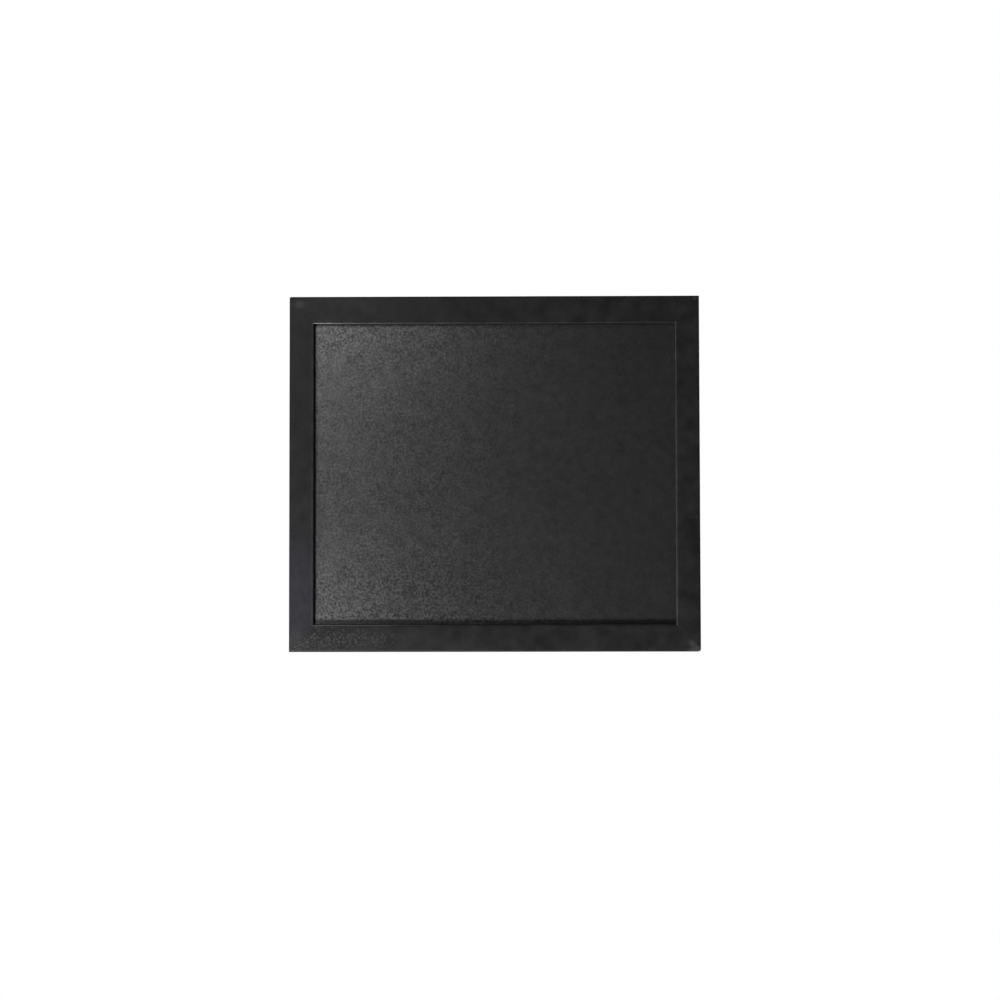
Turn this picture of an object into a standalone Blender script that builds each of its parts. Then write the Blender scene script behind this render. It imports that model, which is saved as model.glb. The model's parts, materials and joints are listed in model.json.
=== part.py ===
"""Framed wall chalkboard: a mitred, black-lacquered wooden frame round a textured writing panel.

The board hangs in the XZ plane, +Z up, and faces -Y. The origin is the middle of the top rail's
back face, at the height of the wall hooks when the two hanger rings are raised onto them.
Left and right are as seen from the front. Every size is in metres and every angle in radians.
"""

import math

import bmesh
import bpy

# Frame, in sizes that can each be set alone
WRITING_WIDTH = 0.2400
WRITING_HEIGHT = 0.2000
STILE_FACE = 0.0164
RAIL_FACE = 0.0182
FRAME_DEPTH = 0.0130
LIP_DEPTH = 0.0050
LIP_REACH = 0.0050
SIGHT_ROUND = 0.0010
FRONT_ROUND = 0.0012
BACK_ROUND = 0.0006

# Clearances: between two seated pieces, round the panel in its rabbet, and past a cut wall
SEAT_GAP = 0.0003
PANEL_PLAY = 0.0005
CUT_OVERRUN = 0.0010

# Writing panel: a thin textured laminate on a fibreboard core
LAMINATE_THICKNESS = 0.0006
CORE_THICKNESS = 0.0030
PANEL_CORNER = 0.0008

# V nails, two driven into the back of each mitre
V_NAIL_WING = 0.0035
V_NAIL_THICKNESS = 0.0005
V_NAIL_HEIGHT = 0.0070
V_NAIL_SINK = 0.0003
V_NAIL_HALF_ANGLE = math.radians(45)
V_NAIL_PLACE_SHARES = (0.45, 0.79)

# Framing points, the flat steel tabs that hold the panel in its rabbet
POINT_WIDTH = 0.0060
POINT_THICKNESS = 0.0005
POINT_DRIVEN = 0.0060
POINT_REACH = 0.0085
POINT_TIP = 0.0030
POINT_CORNER = 0.0012
RAIL_POINT_COUNT = 3
STILE_POINT_COUNT = 2
RAIL_POINT_INSET = 0.0350
STILE_POINT_INSET = 0.0550

# Hangers: a strap with a knuckle, the D ring in it, and the screw that holds the strap
STRAP_WIDTH = 0.0076
STRAP_THICKNESS = 0.0008
STRAP_TAIL = 0.0050
STRAP_END_FLAT = 0.0012
STRAP_EDGE = 0.0009
KNUCKLE_SWEEP = math.radians(290)
RING_WIRE_RADIUS = 0.0009
RING_PLAY = 0.0009
RING_BAR_OVERHANG = 0.0002
RING_SIDE = 0.0025
SCREW_PLAY = 0.0014
SCREW_LENGTH = 0.0090
SCREW_ROOT_RADIUS = 0.0010
SCREW_THREAD_RADIUS = 0.0014
SCREW_PITCH = 0.00135
SCREW_POINT = 0.0020
SCREW_POINT_RADIUS = 0.0003
SCREW_HEAD_RADIUS = 0.0030
SCREW_HEAD_HEIGHT = 0.0018
RECESS_ARM = 0.0017
RECESS_WIDTH = 0.0007
RECESS_DEPTH = 0.0010

# Wall bumpers, stuck to the back near the bottom corners
BUMPER_RADIUS = 0.0042
BUMPER_FLAT_RADIUS = 0.0026
BUMPER_INSET = 0.0260

# Facet counts
ROUND_STEPS = 4
TURNED_STEPS = 16
BUMPER_STEPS = 28
KNUCKLE_STEPS = 22
CROWN_STEPS = 16
THREAD_ROWS_PER_PITCH = 6
WIRE_RESOLUTION = 2
SHARP_ANGLE = math.radians(35)
QUARTER_TURN = math.pi / 2

# Frame, worked out
OUTER_WIDTH = WRITING_WIDTH + 2 * STILE_FACE
OUTER_HEIGHT = WRITING_HEIGHT + 2 * RAIL_FACE
STILE_ACROSS = STILE_FACE / RAIL_FACE
FRONT = -FRAME_DEPTH
LIP_BACK = FRONT + LIP_DEPTH
BACK_BAND = RAIL_FACE - LIP_REACH
TOP_EDGE = BACK_BAND / 2
BOTTOM_EDGE = TOP_EDGE - OUTER_HEIGHT
MIDDLE = TOP_EDGE - OUTER_HEIGHT / 2
STILE_RABBET = OUTER_WIDTH / 2 - BACK_BAND * STILE_ACROSS

# Panel, worked out: each layer's front face, and the plane that the framing points lie on
LAMINATE_FRONT = LIP_BACK + SEAT_GAP
CORE_FRONT = LAMINATE_FRONT + LAMINATE_THICKNESS + SEAT_GAP
POINT_FRONT = CORE_FRONT + CORE_THICKNESS + SEAT_GAP
PANEL_WIDTH = WRITING_WIDTH + 2 * (LIP_REACH * STILE_ACROSS - PANEL_PLAY)
PANEL_HEIGHT = WRITING_HEIGHT + 2 * (LIP_REACH - PANEL_PLAY)

# Hangers, worked out: the ring clears the strap's sides, and the screw's head when it hangs
RING_HALF_WIDTH = STRAP_WIDTH / 2 + RING_PLAY + RING_WIRE_RADIUS
RING_CORNER = RING_PLAY + RING_WIRE_RADIUS - RING_BAR_OVERHANG
RING_DROP = RING_CORNER + RING_SIDE + RING_HALF_WIDTH
SCREW_DROP = RING_DROP + RING_WIRE_RADIUS + SCREW_PLAY + SCREW_HEAD_RADIUS
STRAP_DROP = SCREW_DROP + STRAP_TAIL
STRAP_CORNER = (STRAP_WIDTH - STRAP_END_FLAT) / 2

# Hangers, where they lie: the knuckle turns round the ring's straight bar
KNUCKLE_INNER = RING_WIRE_RADIUS + SEAT_GAP
KNUCKLE_OUTER = KNUCKLE_INNER + STRAP_THICKNESS
KNUCKLE_Y = SEAT_GAP + KNUCKLE_OUTER
STRAP_BACK = SEAT_GAP + STRAP_THICKNESS
KNUCKLE_Z = -(RING_DROP - RING_WIRE_RADIUS)
HANGER_X = STILE_RABBET + STRAP_EDGE + STRAP_WIDTH / 2
SCREW_Z = KNUCKLE_Z - SCREW_DROP
BUMPER_X = OUTER_WIDTH / 2 - BUMPER_INSET
BUMPER_HEIGHT = 2 * KNUCKLE_OUTER

SIDES = (("left", -1), ("right", 1))
CORNERS = (("top_left", -1, 1), ("top_right", 1, 1), ("bottom_left", -1, -1), ("bottom_right", 1, -1))


def clear_scene():
    """Removes every object, so that the model starts from nothing."""
    for obj in list(bpy.data.objects):
        bpy.data.objects.remove(obj)


def finish(name, colour, roughness, metallic=0.0):
    """One Principled material."""
    material = bpy.data.materials.new(name)
    material.use_nodes = True
    shader = material.node_tree.nodes["Principled BSDF"]
    shader.inputs["Base Color"].default_value = (*colour, 1.0)
    shader.inputs["Roughness"].default_value = roughness
    shader.inputs["Metallic"].default_value = metallic
    return material


def arc(centre, radius, start, end, steps):
    """Points of an arc as pairs, both ends included, with angles from the first axis to the second."""
    angles = [start + (end - start) * step / steps for step in range(steps + 1)]
    return [(centre[0] + radius * math.cos(a), centre[1] + radius * math.sin(a)) for a in angles]


def loft(rings):
    """Closed body through equal rings of points, with a flat cap on the first and on the last."""
    body = bmesh.new()
    loops = [[body.verts.new(point) for point in ring] for ring in rings]
    for near, far in zip(loops, loops[1:]):
        for i in range(len(near)):
            body.faces.new((near[i - 1], near[i], far[i], far[i - 1]))
    body.faces.new(loops[0])
    body.faces.new(loops[-1])
    return body


def plate(outline, front, thickness):
    """Outline in the XZ plane, extruded from y = front towards the back."""
    return loft([[(x, y, z) for x, z in outline] for y in (front, front + thickness)])


def rectangle(width, low, high):
    """Outline in the XZ plane, centred across and reaching from low to high."""
    half = width / 2
    return [(-half, low), (half, low), (half, high), (-half, high)]


def mesh_of(name, body, material=None):
    """Mesh datablock of a body, with outward faces and smooth rounds."""
    bmesh.ops.recalc_face_normals(body, faces=body.faces)
    mesh = bpy.data.meshes.new(name)
    body.to_mesh(mesh)
    body.free()
    if material:
        mesh.materials.append(material)
    mesh.shade_smooth()
    mesh.set_sharp_from_angle(angle=SHARP_ANGLE)
    return mesh


def place(name, data, location=(0, 0, 0), turn=0.0):
    """Adds an object, turned about Y, to the scene."""
    obj = bpy.data.objects.new(name, data)
    obj.location = location
    obj.rotation_euler = (0, turn, 0)
    bpy.context.scene.collection.objects.link(obj)
    return obj


def place_cutter(cutters, name, mesh, location=(0, 0, 0), turn=0.0):
    """Adds a cutter, which shows in no render, to a collection of cutters."""
    obj = bpy.data.objects.new(name, mesh)
    obj.location = location
    obj.rotation_euler = (0, turn, 0)
    obj.hide_render = True
    obj.display_type = "WIRE"
    cutters.objects.link(obj)


def cutter_collection(name):
    """Collection, in the scene, for the cutters of one kind of piece."""
    cutters = bpy.data.collections.new(name)
    bpy.context.scene.collection.children.link(cutters)
    return cutters


def carve(obj, cutters):
    """Cuts every cutter of a collection out of an object."""
    cut = obj.modifiers.new("pockets", "BOOLEAN")
    cut.operation = "DIFFERENCE"
    cut.operand_type = "COLLECTION"
    cut.collection = cutters
    cut.solver = "EXACT"


def moulding_outline():
    """Rail cross-section as (u, y): u runs inward from the outer edge, y from the front to the back."""
    front_round = arc((FRONT_ROUND, FRONT + FRONT_ROUND), FRONT_ROUND, math.pi, 3 * QUARTER_TURN, ROUND_STEPS)
    sight_centre = (RAIL_FACE - SIGHT_ROUND, FRONT + SIGHT_ROUND)
    sight_round = arc(sight_centre, SIGHT_ROUND, -QUARTER_TURN, 0.0, ROUND_STEPS)
    back_round = arc((BACK_ROUND, -BACK_ROUND), BACK_ROUND, QUARTER_TURN, math.pi, ROUND_STEPS)
    rabbet = [(RAIL_FACE, LIP_BACK), (BACK_BAND, LIP_BACK), (BACK_BAND, 0)]
    return front_round + sight_round + rabbet + back_round


def member_mesh(name, half_length, across, slant, material):
    """Mitred moulding along X: its outer edge is on z = 0 and its inside lies towards -Z.

    across narrows the rail's cross-section to the member's own width, and slant is how much an
    end draws in for each unit of u, so that rails and stiles meet on one mitre plane.
    """
    cut = SEAT_GAP / 2 * math.hypot(across, slant) / across
    ends = []
    for side in (-1, 1):
        ends.append([(side * (half_length - u * slant - cut), y, -u * across) for u, y in moulding_outline()])
    return mesh_of(name, loft(ends), material)


def frame_members(cutters, black):
    """Two rails and two stiles, with the pockets that their fasteners sit in."""
    rail = member_mesh("rail", OUTER_WIDTH / 2, 1.0, STILE_ACROSS, black)
    stile = member_mesh("stile", OUTER_HEIGHT / 2, STILE_ACROSS, 1.0, black)
    members = [
        place("top_rail", rail, (0, 0, TOP_EDGE)),
        place("bottom_rail", rail, (0, 0, BOTTOM_EDGE), math.pi),
    ]
    for name, side in SIDES:
        outer_edge = (side * OUTER_WIDTH / 2, 0, MIDDLE)
        members.append(place(f"{name}_stile", stile, outer_edge, side * QUARTER_TURN))
    for member in members:
        carve(member, cutters)


def rounded_rectangle(width, height, radius):
    """Outline in the XZ plane, centred, with round corners."""
    right, top = width / 2 - radius, height / 2 - radius
    outline = []
    for quarter, (x, z) in enumerate(((right, top), (-right, top), (-right, -top), (right, -top))):
        start = quarter * QUARTER_TURN
        outline += arc((x, z), radius, start, start + QUARTER_TURN, ROUND_STEPS)
    return outline


def writing_panel(slate, fibreboard):
    """The textured laminate and, behind it, the core."""
    outline = rounded_rectangle(PANEL_WIDTH, PANEL_HEIGHT, PANEL_CORNER)
    laminate = plate(outline, LAMINATE_FRONT, LAMINATE_THICKNESS)
    core = plate(outline, CORE_FRONT, CORE_THICKNESS)
    place("writing_laminate", mesh_of("writing_laminate", laminate, slate), (0, 0, MIDDLE))
    place("panel_core", mesh_of("panel_core", core, fibreboard), (0, 0, MIDDLE))


def v_outline(grow):
    """Plan of a V nail along X: its point is at the origin and its wings open towards +X."""
    sine, cosine = math.sin(V_NAIL_HALF_ANGLE), math.cos(V_NAIL_HALF_ANGLE)
    point = -grow / sine
    reach = V_NAIL_WING + grow + grow * cosine / sine
    wide = V_NAIL_THICKNESS + 2 * grow
    outer = (point + reach * cosine, reach * sine)
    inner = (outer[0] + wide * sine, outer[1] - wide * cosine)
    return [(point, 0), outer, inner, (point + wide / sine, 0), (inner[0], -inner[1]), (outer[0], -outer[1])]


def v_nails(cutters, steel):
    """Two V nails across each mitre, and their pockets."""
    nail_front = -V_NAIL_SINK - V_NAIL_HEIGHT
    pocket_front = nail_front - SEAT_GAP
    nail = mesh_of("v_nail", plate(v_outline(0.0), nail_front, V_NAIL_HEIGHT), steel)
    pocket = mesh_of("v_nail_pocket", plate(v_outline(SEAT_GAP), pocket_front, CUT_OVERRUN - pocket_front))
    for corner, side, up in CORNERS:
        corner_z = MIDDLE + up * OUTER_HEIGHT / 2
        turn = math.atan2(-up * RAIL_FACE, side * STILE_FACE)
        for number, share in enumerate(V_NAIL_PLACE_SHARES, 1):
            x = side * (OUTER_WIDTH / 2 - share * BACK_BAND * STILE_ACROSS)
            z = corner_z - up * share * BACK_BAND
            place(f"v_nail_{corner}_{number}", nail, (x, 0, z), turn)
            place_cutter(cutters, f"v_nail_pocket_{corner}_{number}", pocket, (x, 0, z), turn)


def point_outline():
    """Plan of a framing point: its tip is driven towards +Z, and its tab reaches towards -Z."""
    half = POINT_WIDTH / 2
    shoulder = (half, POINT_DRIVEN - POINT_TIP)
    corner = [(half, POINT_CORNER - POINT_REACH), (half - POINT_CORNER, -POINT_REACH)]
    right = [shoulder] + corner
    return [(0, POINT_DRIVEN)] + right + [(-x, z) for x, z in reversed(right)]


def spread(count, span):
    """Evenly spaced places round a middle of 0, the first and the last of them a span apart."""
    return [span * (number / (count - 1) - 1 / 2) for number in range(count)]


def framing_points(cutters, steel):
    """Steel tabs driven into the rabbet's walls behind the panel, and their pockets.

    The outermost on each side lie a named inset inside the writing area's corners.
    """
    tab = mesh_of("framing_point", plate(point_outline(), POINT_FRONT, POINT_THICKNESS), steel)
    slot_outline = rectangle(POINT_WIDTH + 2 * SEAT_GAP, -CUT_OVERRUN, POINT_DRIVEN + SEAT_GAP)
    slot_body = plate(slot_outline, POINT_FRONT - SEAT_GAP, POINT_THICKNESS + 2 * SEAT_GAP)
    slot = mesh_of("framing_point_slot", slot_body)

    def drive(name, x, z, turn):
        place(name, tab, (x, 0, z), turn)
        place_cutter(cutters, f"{name}_slot", slot, (x, 0, z), turn)

    walls = (("top", TOP_EDGE - BACK_BAND, 0.0), ("bottom", BOTTOM_EDGE + BACK_BAND, math.pi))
    for name, wall, turn in walls:
        for number, x in enumerate(spread(RAIL_POINT_COUNT, WRITING_WIDTH - 2 * RAIL_POINT_INSET), 1):
            drive(f"framing_point_{name}_{number}", x, wall, turn)
    for name, side in SIDES:
        for number, drop in enumerate(spread(STILE_POINT_COUNT, WRITING_HEIGHT - 2 * STILE_POINT_INSET), 1):
            drive(f"framing_point_{name}_{number}", side * STILE_RABBET, MIDDLE - drop, side * QUARTER_TURN)


def strap_mesh(material):
    """Hanger strap, its knuckle's axis on the origin and its plate hanging down towards -Z."""
    face, back = -KNUCKLE_OUTER, -KNUCKLE_INNER
    end = math.pi - KNUCKLE_SWEEP
    outer = arc((0, 0), KNUCKLE_OUTER, math.pi, end, KNUCKLE_STEPS)
    inner = arc((0, 0), KNUCKLE_INNER, end, math.pi, KNUCKLE_STEPS)
    side_view = [(face, -STRAP_DROP)] + outer + inner + [(back, -STRAP_DROP)]
    half = STRAP_WIDTH / 2
    body = loft([[(x, y, z) for y, z in side_view] for x in (-half, half)])
    lowest = min(vert.co.z for vert in body.verts)
    foot = [edge for edge in body.edges if all(vert.co.z == lowest for vert in edge.verts)]
    corners = [edge for edge in foot if edge.verts[0].co.x == edge.verts[1].co.x]
    bmesh.ops.bevel(
        body, geom=corners, offset=STRAP_CORNER, segments=2 * ROUND_STEPS, profile=0.5, affect="EDGES"
    )
    return mesh_of("hanger_strap", body, material)


def ring_curve(material):
    """D ring of round wire: its straight bar lies along X on the origin, and its bow hangs towards -Z."""
    half, corner = RING_HALF_WIDTH, RING_CORNER
    bow_z = -(RING_CORNER + RING_SIDE)
    path = arc((half - corner, -corner), corner, QUARTER_TURN, 0.0, ROUND_STEPS)
    path += arc((0, bow_z), half, 0.0, -math.pi, CROWN_STEPS)
    path += arc((corner - half, -corner), corner, math.pi, QUARTER_TURN, ROUND_STEPS)
    curve = bpy.data.curves.new("hanger_ring", "CURVE")
    curve.dimensions = "3D"
    curve.bevel_depth = RING_WIRE_RADIUS
    curve.bevel_resolution = WIRE_RESOLUTION
    wire = curve.splines.new("POLY")
    wire.points.add(len(path) - 1)
    for point, (x, z) in zip(wire.points, path):
        point.co = (x, 0, z, 1)
    wire.use_cyclic_u = True
    curve.materials.append(material)
    return curve


def thread_radius(depth, turn):
    """Radius of the screw's thread at a depth below its head, at a share of a turn round the axis."""
    phase = (depth / SCREW_PITCH + turn) % 1.0
    crest = 1.0 - abs(2.0 * phase - 1.0)
    point = min(1.0, (SCREW_LENGTH - depth) / SCREW_POINT)
    rise = min(point, depth / SCREW_PITCH)
    core = SCREW_POINT_RADIUS + (SCREW_ROOT_RADIUS - SCREW_POINT_RADIUS) * point
    return core + (SCREW_THREAD_RADIUS - SCREW_ROOT_RADIUS) * crest * rise


def turned_ring(y, radii):
    """Ring of evenly spaced points round the Y axis, one for each radius."""
    turns = [math.tau * step / len(radii) for step in range(len(radii))]
    return [(radius * math.cos(turn), y, radius * math.sin(turn)) for turn, radius in zip(turns, radii)]


def screw_mesh(material):
    """Pan-head wood screw, its head's underside on y = 0 and its point towards -Y."""
    rows = round(SCREW_LENGTH / SCREW_PITCH * THREAD_ROWS_PER_PITCH)
    rings = []
    for row in range(rows, -1, -1):
        depth = SCREW_LENGTH * row / rows
        radii = [thread_radius(depth, step / TURNED_STEPS) for step in range(TURNED_STEPS)]
        rings.append(turned_ring(-depth, radii))
    dome = arc((0, 0), 1.0, 0.0, QUARTER_TURN - QUARTER_TURN / ROUND_STEPS, ROUND_STEPS)
    for across, up in dome:
        rings.append(turned_ring(up * SCREW_HEAD_HEIGHT, [across * SCREW_HEAD_RADIUS] * TURNED_STEPS))
    return mesh_of("hanger_screw", loft(rings), material)


def recess_mesh():
    """Cutter for the cross recess in a screw's head, reaching in from beyond the dome."""
    arm, half = RECESS_ARM, RECESS_WIDTH / 2
    quarter = [(half, half), (half, arm), (-half, arm)]
    outline = []
    for turn in range(4):
        for x, z in quarter:
            for _ in range(turn):
                x, z = -z, x
            outline.append((x, z))
    crown = SCREW_HEAD_HEIGHT * math.sin(QUARTER_TURN - QUARTER_TURN / ROUND_STEPS)
    return mesh_of("screw_recess", plate(outline, crown - RECESS_DEPTH, RECESS_DEPTH + CUT_OVERRUN))


def hangers(cutters, steel):
    """Strap, swinging ring and screw on the back of each stile, and the screw's hole."""
    strap, ring, screw, recess = strap_mesh(steel), ring_curve(steel), screw_mesh(steel), recess_mesh()
    hole_radii = [SCREW_THREAD_RADIUS + SEAT_GAP] * TURNED_STEPS
    head_seat = STRAP_BACK + SEAT_GAP
    hole_span = (head_seat - SCREW_LENGTH - SEAT_GAP, head_seat + CUT_OVERRUN)
    hole = mesh_of("screw_hole", loft([turned_ring(y, hole_radii) for y in hole_span]))
    recesses = cutter_collection("recess_cutters")
    for name, side in SIDES:
        x = side * HANGER_X
        head = (x, head_seat, SCREW_Z)
        carve(place(f"{name}_hanger_strap", strap, (x, KNUCKLE_Y, KNUCKLE_Z)), cutters)
        place(f"{name}_hanger_ring", ring, (x, KNUCKLE_Y, KNUCKLE_Z))
        carve(place(f"{name}_hanger_screw", screw, head), recesses)
        place_cutter(cutters, f"{name}_screw_hole", hole, (x, 0, SCREW_Z))
        place_cutter(recesses, f"{name}_screw_recess", recess, head)


def wall_bumpers(rubber):
    """Round rubber feet that keep the board's bottom as far off the wall as the hangers keep its top."""
    shoulder = arc((0, 0), 1.0, 0.0, QUARTER_TURN, 2 * ROUND_STEPS)
    rings = [turned_ring(0, [BUMPER_RADIUS] * BUMPER_STEPS)]
    for across, up in shoulder[1:]:
        radius = BUMPER_FLAT_RADIUS + (BUMPER_RADIUS - BUMPER_FLAT_RADIUS) * across
        rings.append(turned_ring(up * BUMPER_HEIGHT, [radius] * BUMPER_STEPS))
    bumper = mesh_of("wall_bumper", loft(rings), rubber)
    for name, side in SIDES:
        place(f"{name}_wall_bumper", bumper, (side * BUMPER_X, SEAT_GAP, BOTTOM_EDGE + BACK_BAND / 2))


def main():
    """Builds the whole board."""
    clear_scene()
    black = finish("black_lacquer", (0.020, 0.020, 0.021), 0.45)
    slate = finish("textured_black_laminate", (0.024, 0.024, 0.024), 0.55)
    fibreboard = finish("brown_fibreboard", (0.170, 0.095, 0.048), 0.80)
    steel = finish("zinc_plated_steel", (0.560, 0.570, 0.580), 0.35, 1.0)
    rubber = finish("grey_rubber", (0.100, 0.100, 0.105), 0.70)
    cutters = cutter_collection("pocket_cutters")
    v_nails(cutters, steel)
    framing_points(cutters, steel)
    hangers(cutters, steel)
    frame_members(cutters, black)
    writing_panel(slate, fibreboard)
    wall_bumpers(rubber)


main()
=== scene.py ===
"""Wall chalkboard: the shapes, finishes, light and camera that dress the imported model.

The board hangs in the XZ plane. Its writing face looks along -Y, its back along +Y, and +Z is up.
Lengths are in metres and angles in radians.
"""

import json
import logging
import math
from collections.abc import Sequence
from dataclasses import dataclass, field, replace
from enum import Enum

import bmesh
import bpy
import numpy as np
from mathutils import Matrix, Vector

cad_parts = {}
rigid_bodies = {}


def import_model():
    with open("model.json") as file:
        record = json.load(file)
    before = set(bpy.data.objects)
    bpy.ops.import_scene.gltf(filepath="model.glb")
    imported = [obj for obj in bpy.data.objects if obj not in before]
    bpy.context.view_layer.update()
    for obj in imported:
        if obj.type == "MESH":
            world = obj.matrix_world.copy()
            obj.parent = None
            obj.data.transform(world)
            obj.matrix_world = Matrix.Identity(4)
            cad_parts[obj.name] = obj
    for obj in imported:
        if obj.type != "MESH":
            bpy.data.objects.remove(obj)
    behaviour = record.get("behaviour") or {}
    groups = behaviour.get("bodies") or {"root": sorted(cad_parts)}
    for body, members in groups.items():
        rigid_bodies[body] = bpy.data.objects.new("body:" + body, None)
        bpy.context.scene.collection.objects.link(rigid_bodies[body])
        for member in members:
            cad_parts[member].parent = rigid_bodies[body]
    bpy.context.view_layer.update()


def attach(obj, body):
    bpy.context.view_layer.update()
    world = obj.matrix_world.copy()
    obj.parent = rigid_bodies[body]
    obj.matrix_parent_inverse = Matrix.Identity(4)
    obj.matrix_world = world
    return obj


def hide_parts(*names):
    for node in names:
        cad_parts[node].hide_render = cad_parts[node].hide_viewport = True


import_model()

LOG = logging.getLogger("chalkboard")

Array = np.ndarray
Socket = bpy.types.NodeSocket
Pair = tuple[float, float]
Triple = tuple[float, float, float]

QUARTER_TURN = math.pi / 2

# How far a cutter reaches past the face that it opens, how near two points count as one, and the
# angle between faces from which an edge stays crisp
CUT_OVERRUN = 0.001
MERGE_DISTANCE = 1e-7
SHARP_ANGLE = math.radians(32)

# Steps round the edge of a flat plate
PLATE_EDGE_STEPS = 3

# Values kept with the frame's vertices for its lacquer, and the middle of every noise
EDGE_ATTRIBUTE = "edge"
SIGHT_ATTRIBUTE = "sight_edge"
NOISE_MIDDLE = 0.5

# The photograph's scale, and where the middle of the board is on it
PIXEL = 0.0006656
PHOTO_MIDDLE = (494.0, 473.5)


# Sizes that the whole board shares


@dataclass(frozen=True)
class BoardSizes:
    """Outer sizes of the frame and the planes that its pieces lie on."""

    width: float = 0.2728
    height: float = 0.2364
    top: float = 0.0066
    front: float = -0.013
    rail_face: float = 0.0182
    stile_face: float = 0.0164
    lip_depth: float = 0.005
    lip_reach: float = 0.005

    @property
    def bottom(self) -> float:
        """Height of the lower outer edge."""
        return self.top - self.height

    @property
    def middle(self) -> float:
        """Height of the board's middle."""
        return self.top - self.height / 2

    @property
    def across(self) -> float:
        """A stile's width as a share of a rail's."""
        return self.stile_face / self.rail_face

    @property
    def back_band(self) -> float:
        """Width of a rail's back, from its outer edge to the rabbet."""
        return self.rail_face - self.lip_reach

    @property
    def lip_back(self) -> float:
        """Plane of the lip's back, which the panel lies behind."""
        return self.front + self.lip_depth


SIZES = BoardSizes()


def board_point(pixel: Pair) -> Pair:
    """Place on the board's face of a place in the photograph.

    Args:
        pixel: Column and row in the photograph.

    Returns:
        X and Z in metres.
    """
    across = (pixel[0] - PHOTO_MIDDLE[0]) * PIXEL
    down = (pixel[1] - PHOTO_MIDDLE[1]) * PIXEL
    return across, SIZES.middle - down


# Points and grids


def arc_points(centre: Pair, radius: float, start: float, end: float, steps: int) -> Array:
    """Points of an arc: the centre plus the radius times cosine and sine of even angles.

    Args:
        centre: Centre of the arc.
        radius: Radius of the arc.
        start: First angle, from the first axis towards the second.
        end: Last angle.
        steps: Number of equal steps.

    Returns:
        Array of steps + 1 pairs.
    """
    angles = np.linspace(start, end, steps + 1)
    return np.asarray(centre) + radius * np.stack((np.cos(angles), np.sin(angles)), axis=1)


def line_points(start: Pair, end: Pair, steps: int) -> Array:
    """Points of a straight run: one end times the rest of the share plus the other times the share.

    Args:
        start: First point.
        end: Last point.
        steps: Number of equal steps.

    Returns:
        Array of steps + 1 pairs.
    """
    shares = np.linspace(0.0, 1.0, steps + 1)[:, None]
    return (1.0 - shares) * np.asarray(start) + shares * np.asarray(end)


def joined(*runs: Array) -> Array:
    """Closed loop of runs put end to end, without the points that repeat the one before them.

    Args:
        runs: Arrays of pairs.

    Returns:
        One array of pairs.
    """
    points = np.concatenate(runs)
    apart = np.linalg.norm(points - np.roll(points, 1, axis=0), axis=1) > MERGE_DISTANCE
    return points[apart]


def inward(loop: Array, along: Array) -> Array:
    """Unit directions a quarter turn to the inside of a closed loop.

    Args:
        loop: Closed loop of pairs, whose signed area tells which way it runs.
        along: One direction along the loop for each point, of any length.

    Returns:
        One pair for each point.
    """
    unit = along / np.linalg.norm(along, axis=1, keepdims=True)
    following = np.roll(loop, -1, axis=0)
    area = (loop[:, 0] * following[:, 1] - following[:, 0] * loop[:, 1]).sum()
    return math.copysign(1.0, area) * np.stack((-unit[:, 1], unit[:, 0]), axis=1)


def inward_normals(loop: Array) -> Array:
    """Unit normals of a closed loop, each square to the line through its two neighbours, facing inward.

    Args:
        loop: Closed loop of pairs.

    Returns:
        One pair for each point.
    """
    return inward(loop, np.roll(loop, -1, axis=0) - np.roll(loop, 1, axis=0))


def shrunk(loop: Array, inset: float) -> Array:
    """Closed loop moved inward by an inset, its corners along the line that halves them.

    Args:
        loop: Closed loop of pairs.
        inset: Distance that each side moves inward.

    Returns:
        Loop of as many pairs.
    """
    after = inward(loop, np.roll(loop, -1, axis=0) - loop)
    before = np.roll(after, 1, axis=0)
    return loop + inset * (before + after) / (1.0 + (before * after).sum(axis=1, keepdims=True))


def grid_faces(rows: int, columns: int, around: bool = False, along: bool = False) -> Array:
    """Quads between neighbouring points of a grid that is stored row after row.

    Args:
        rows: Number of rows.
        columns: Number of points in a row.
        around: Whether each row closes round.
        along: Whether the last row joins the first.

    Returns:
        Array of vertex indices, four for each quad.
    """
    down, across = np.meshgrid(
        np.arange(rows if along else rows - 1),
        np.arange(columns if around else columns - 1),
        indexing="ij",
    )
    down, across = down.ravel(), across.ravel()
    below, beside = (down + 1) % rows, (across + 1) % columns
    return np.stack(
        (
            down * columns + across,
            down * columns + beside,
            below * columns + beside,
            below * columns + across,
        ),
        axis=1,
    )


def smooth_step(values: Array, low: float, high: float) -> Array:
    """Rise from 0 at low to 1 at high: three times the square of the share less twice its cube."""
    share = np.clip((values - low) / (high - low), 0.0, 1.0)
    return share * share * (3.0 - 2.0 * share)


@dataclass(frozen=True)
class Waviness:
    """Gentle unevenness: a sum of sine waves of graded lengths, in seeded directions and phases."""

    shortest: float
    longest: float
    seed: int
    waves: int = 14

    def at(self, points: Array) -> Array:
        """Unevenness at each point.

        Args:
            points: Array whose last axis is X, Y, Z.

        Returns:
            Values from 0 to 1, in the shape of the other axes.
        """
        draws = np.random.default_rng(self.seed)
        lengths = np.geomspace(self.shortest, self.longest, self.waves)
        directions = draws.normal(size=(self.waves, 3))
        directions /= np.linalg.norm(directions, axis=1, keepdims=True)
        phases = draws.uniform(0.0, math.tau, self.waves)
        waves = np.sin(points @ (directions * math.tau / lengths[:, None]).T + phases)
        return 0.5 + 0.5 * (waves * lengths).sum(axis=-1) / lengths.sum()


# Meshes and pieces


def shade(mesh: bpy.types.Mesh) -> None:
    """Smooths a mesh's rounds and keeps its corners crisp."""
    mesh.shade_smooth()
    mesh.set_sharp_from_angle(angle=SHARP_ANGLE)


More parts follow.
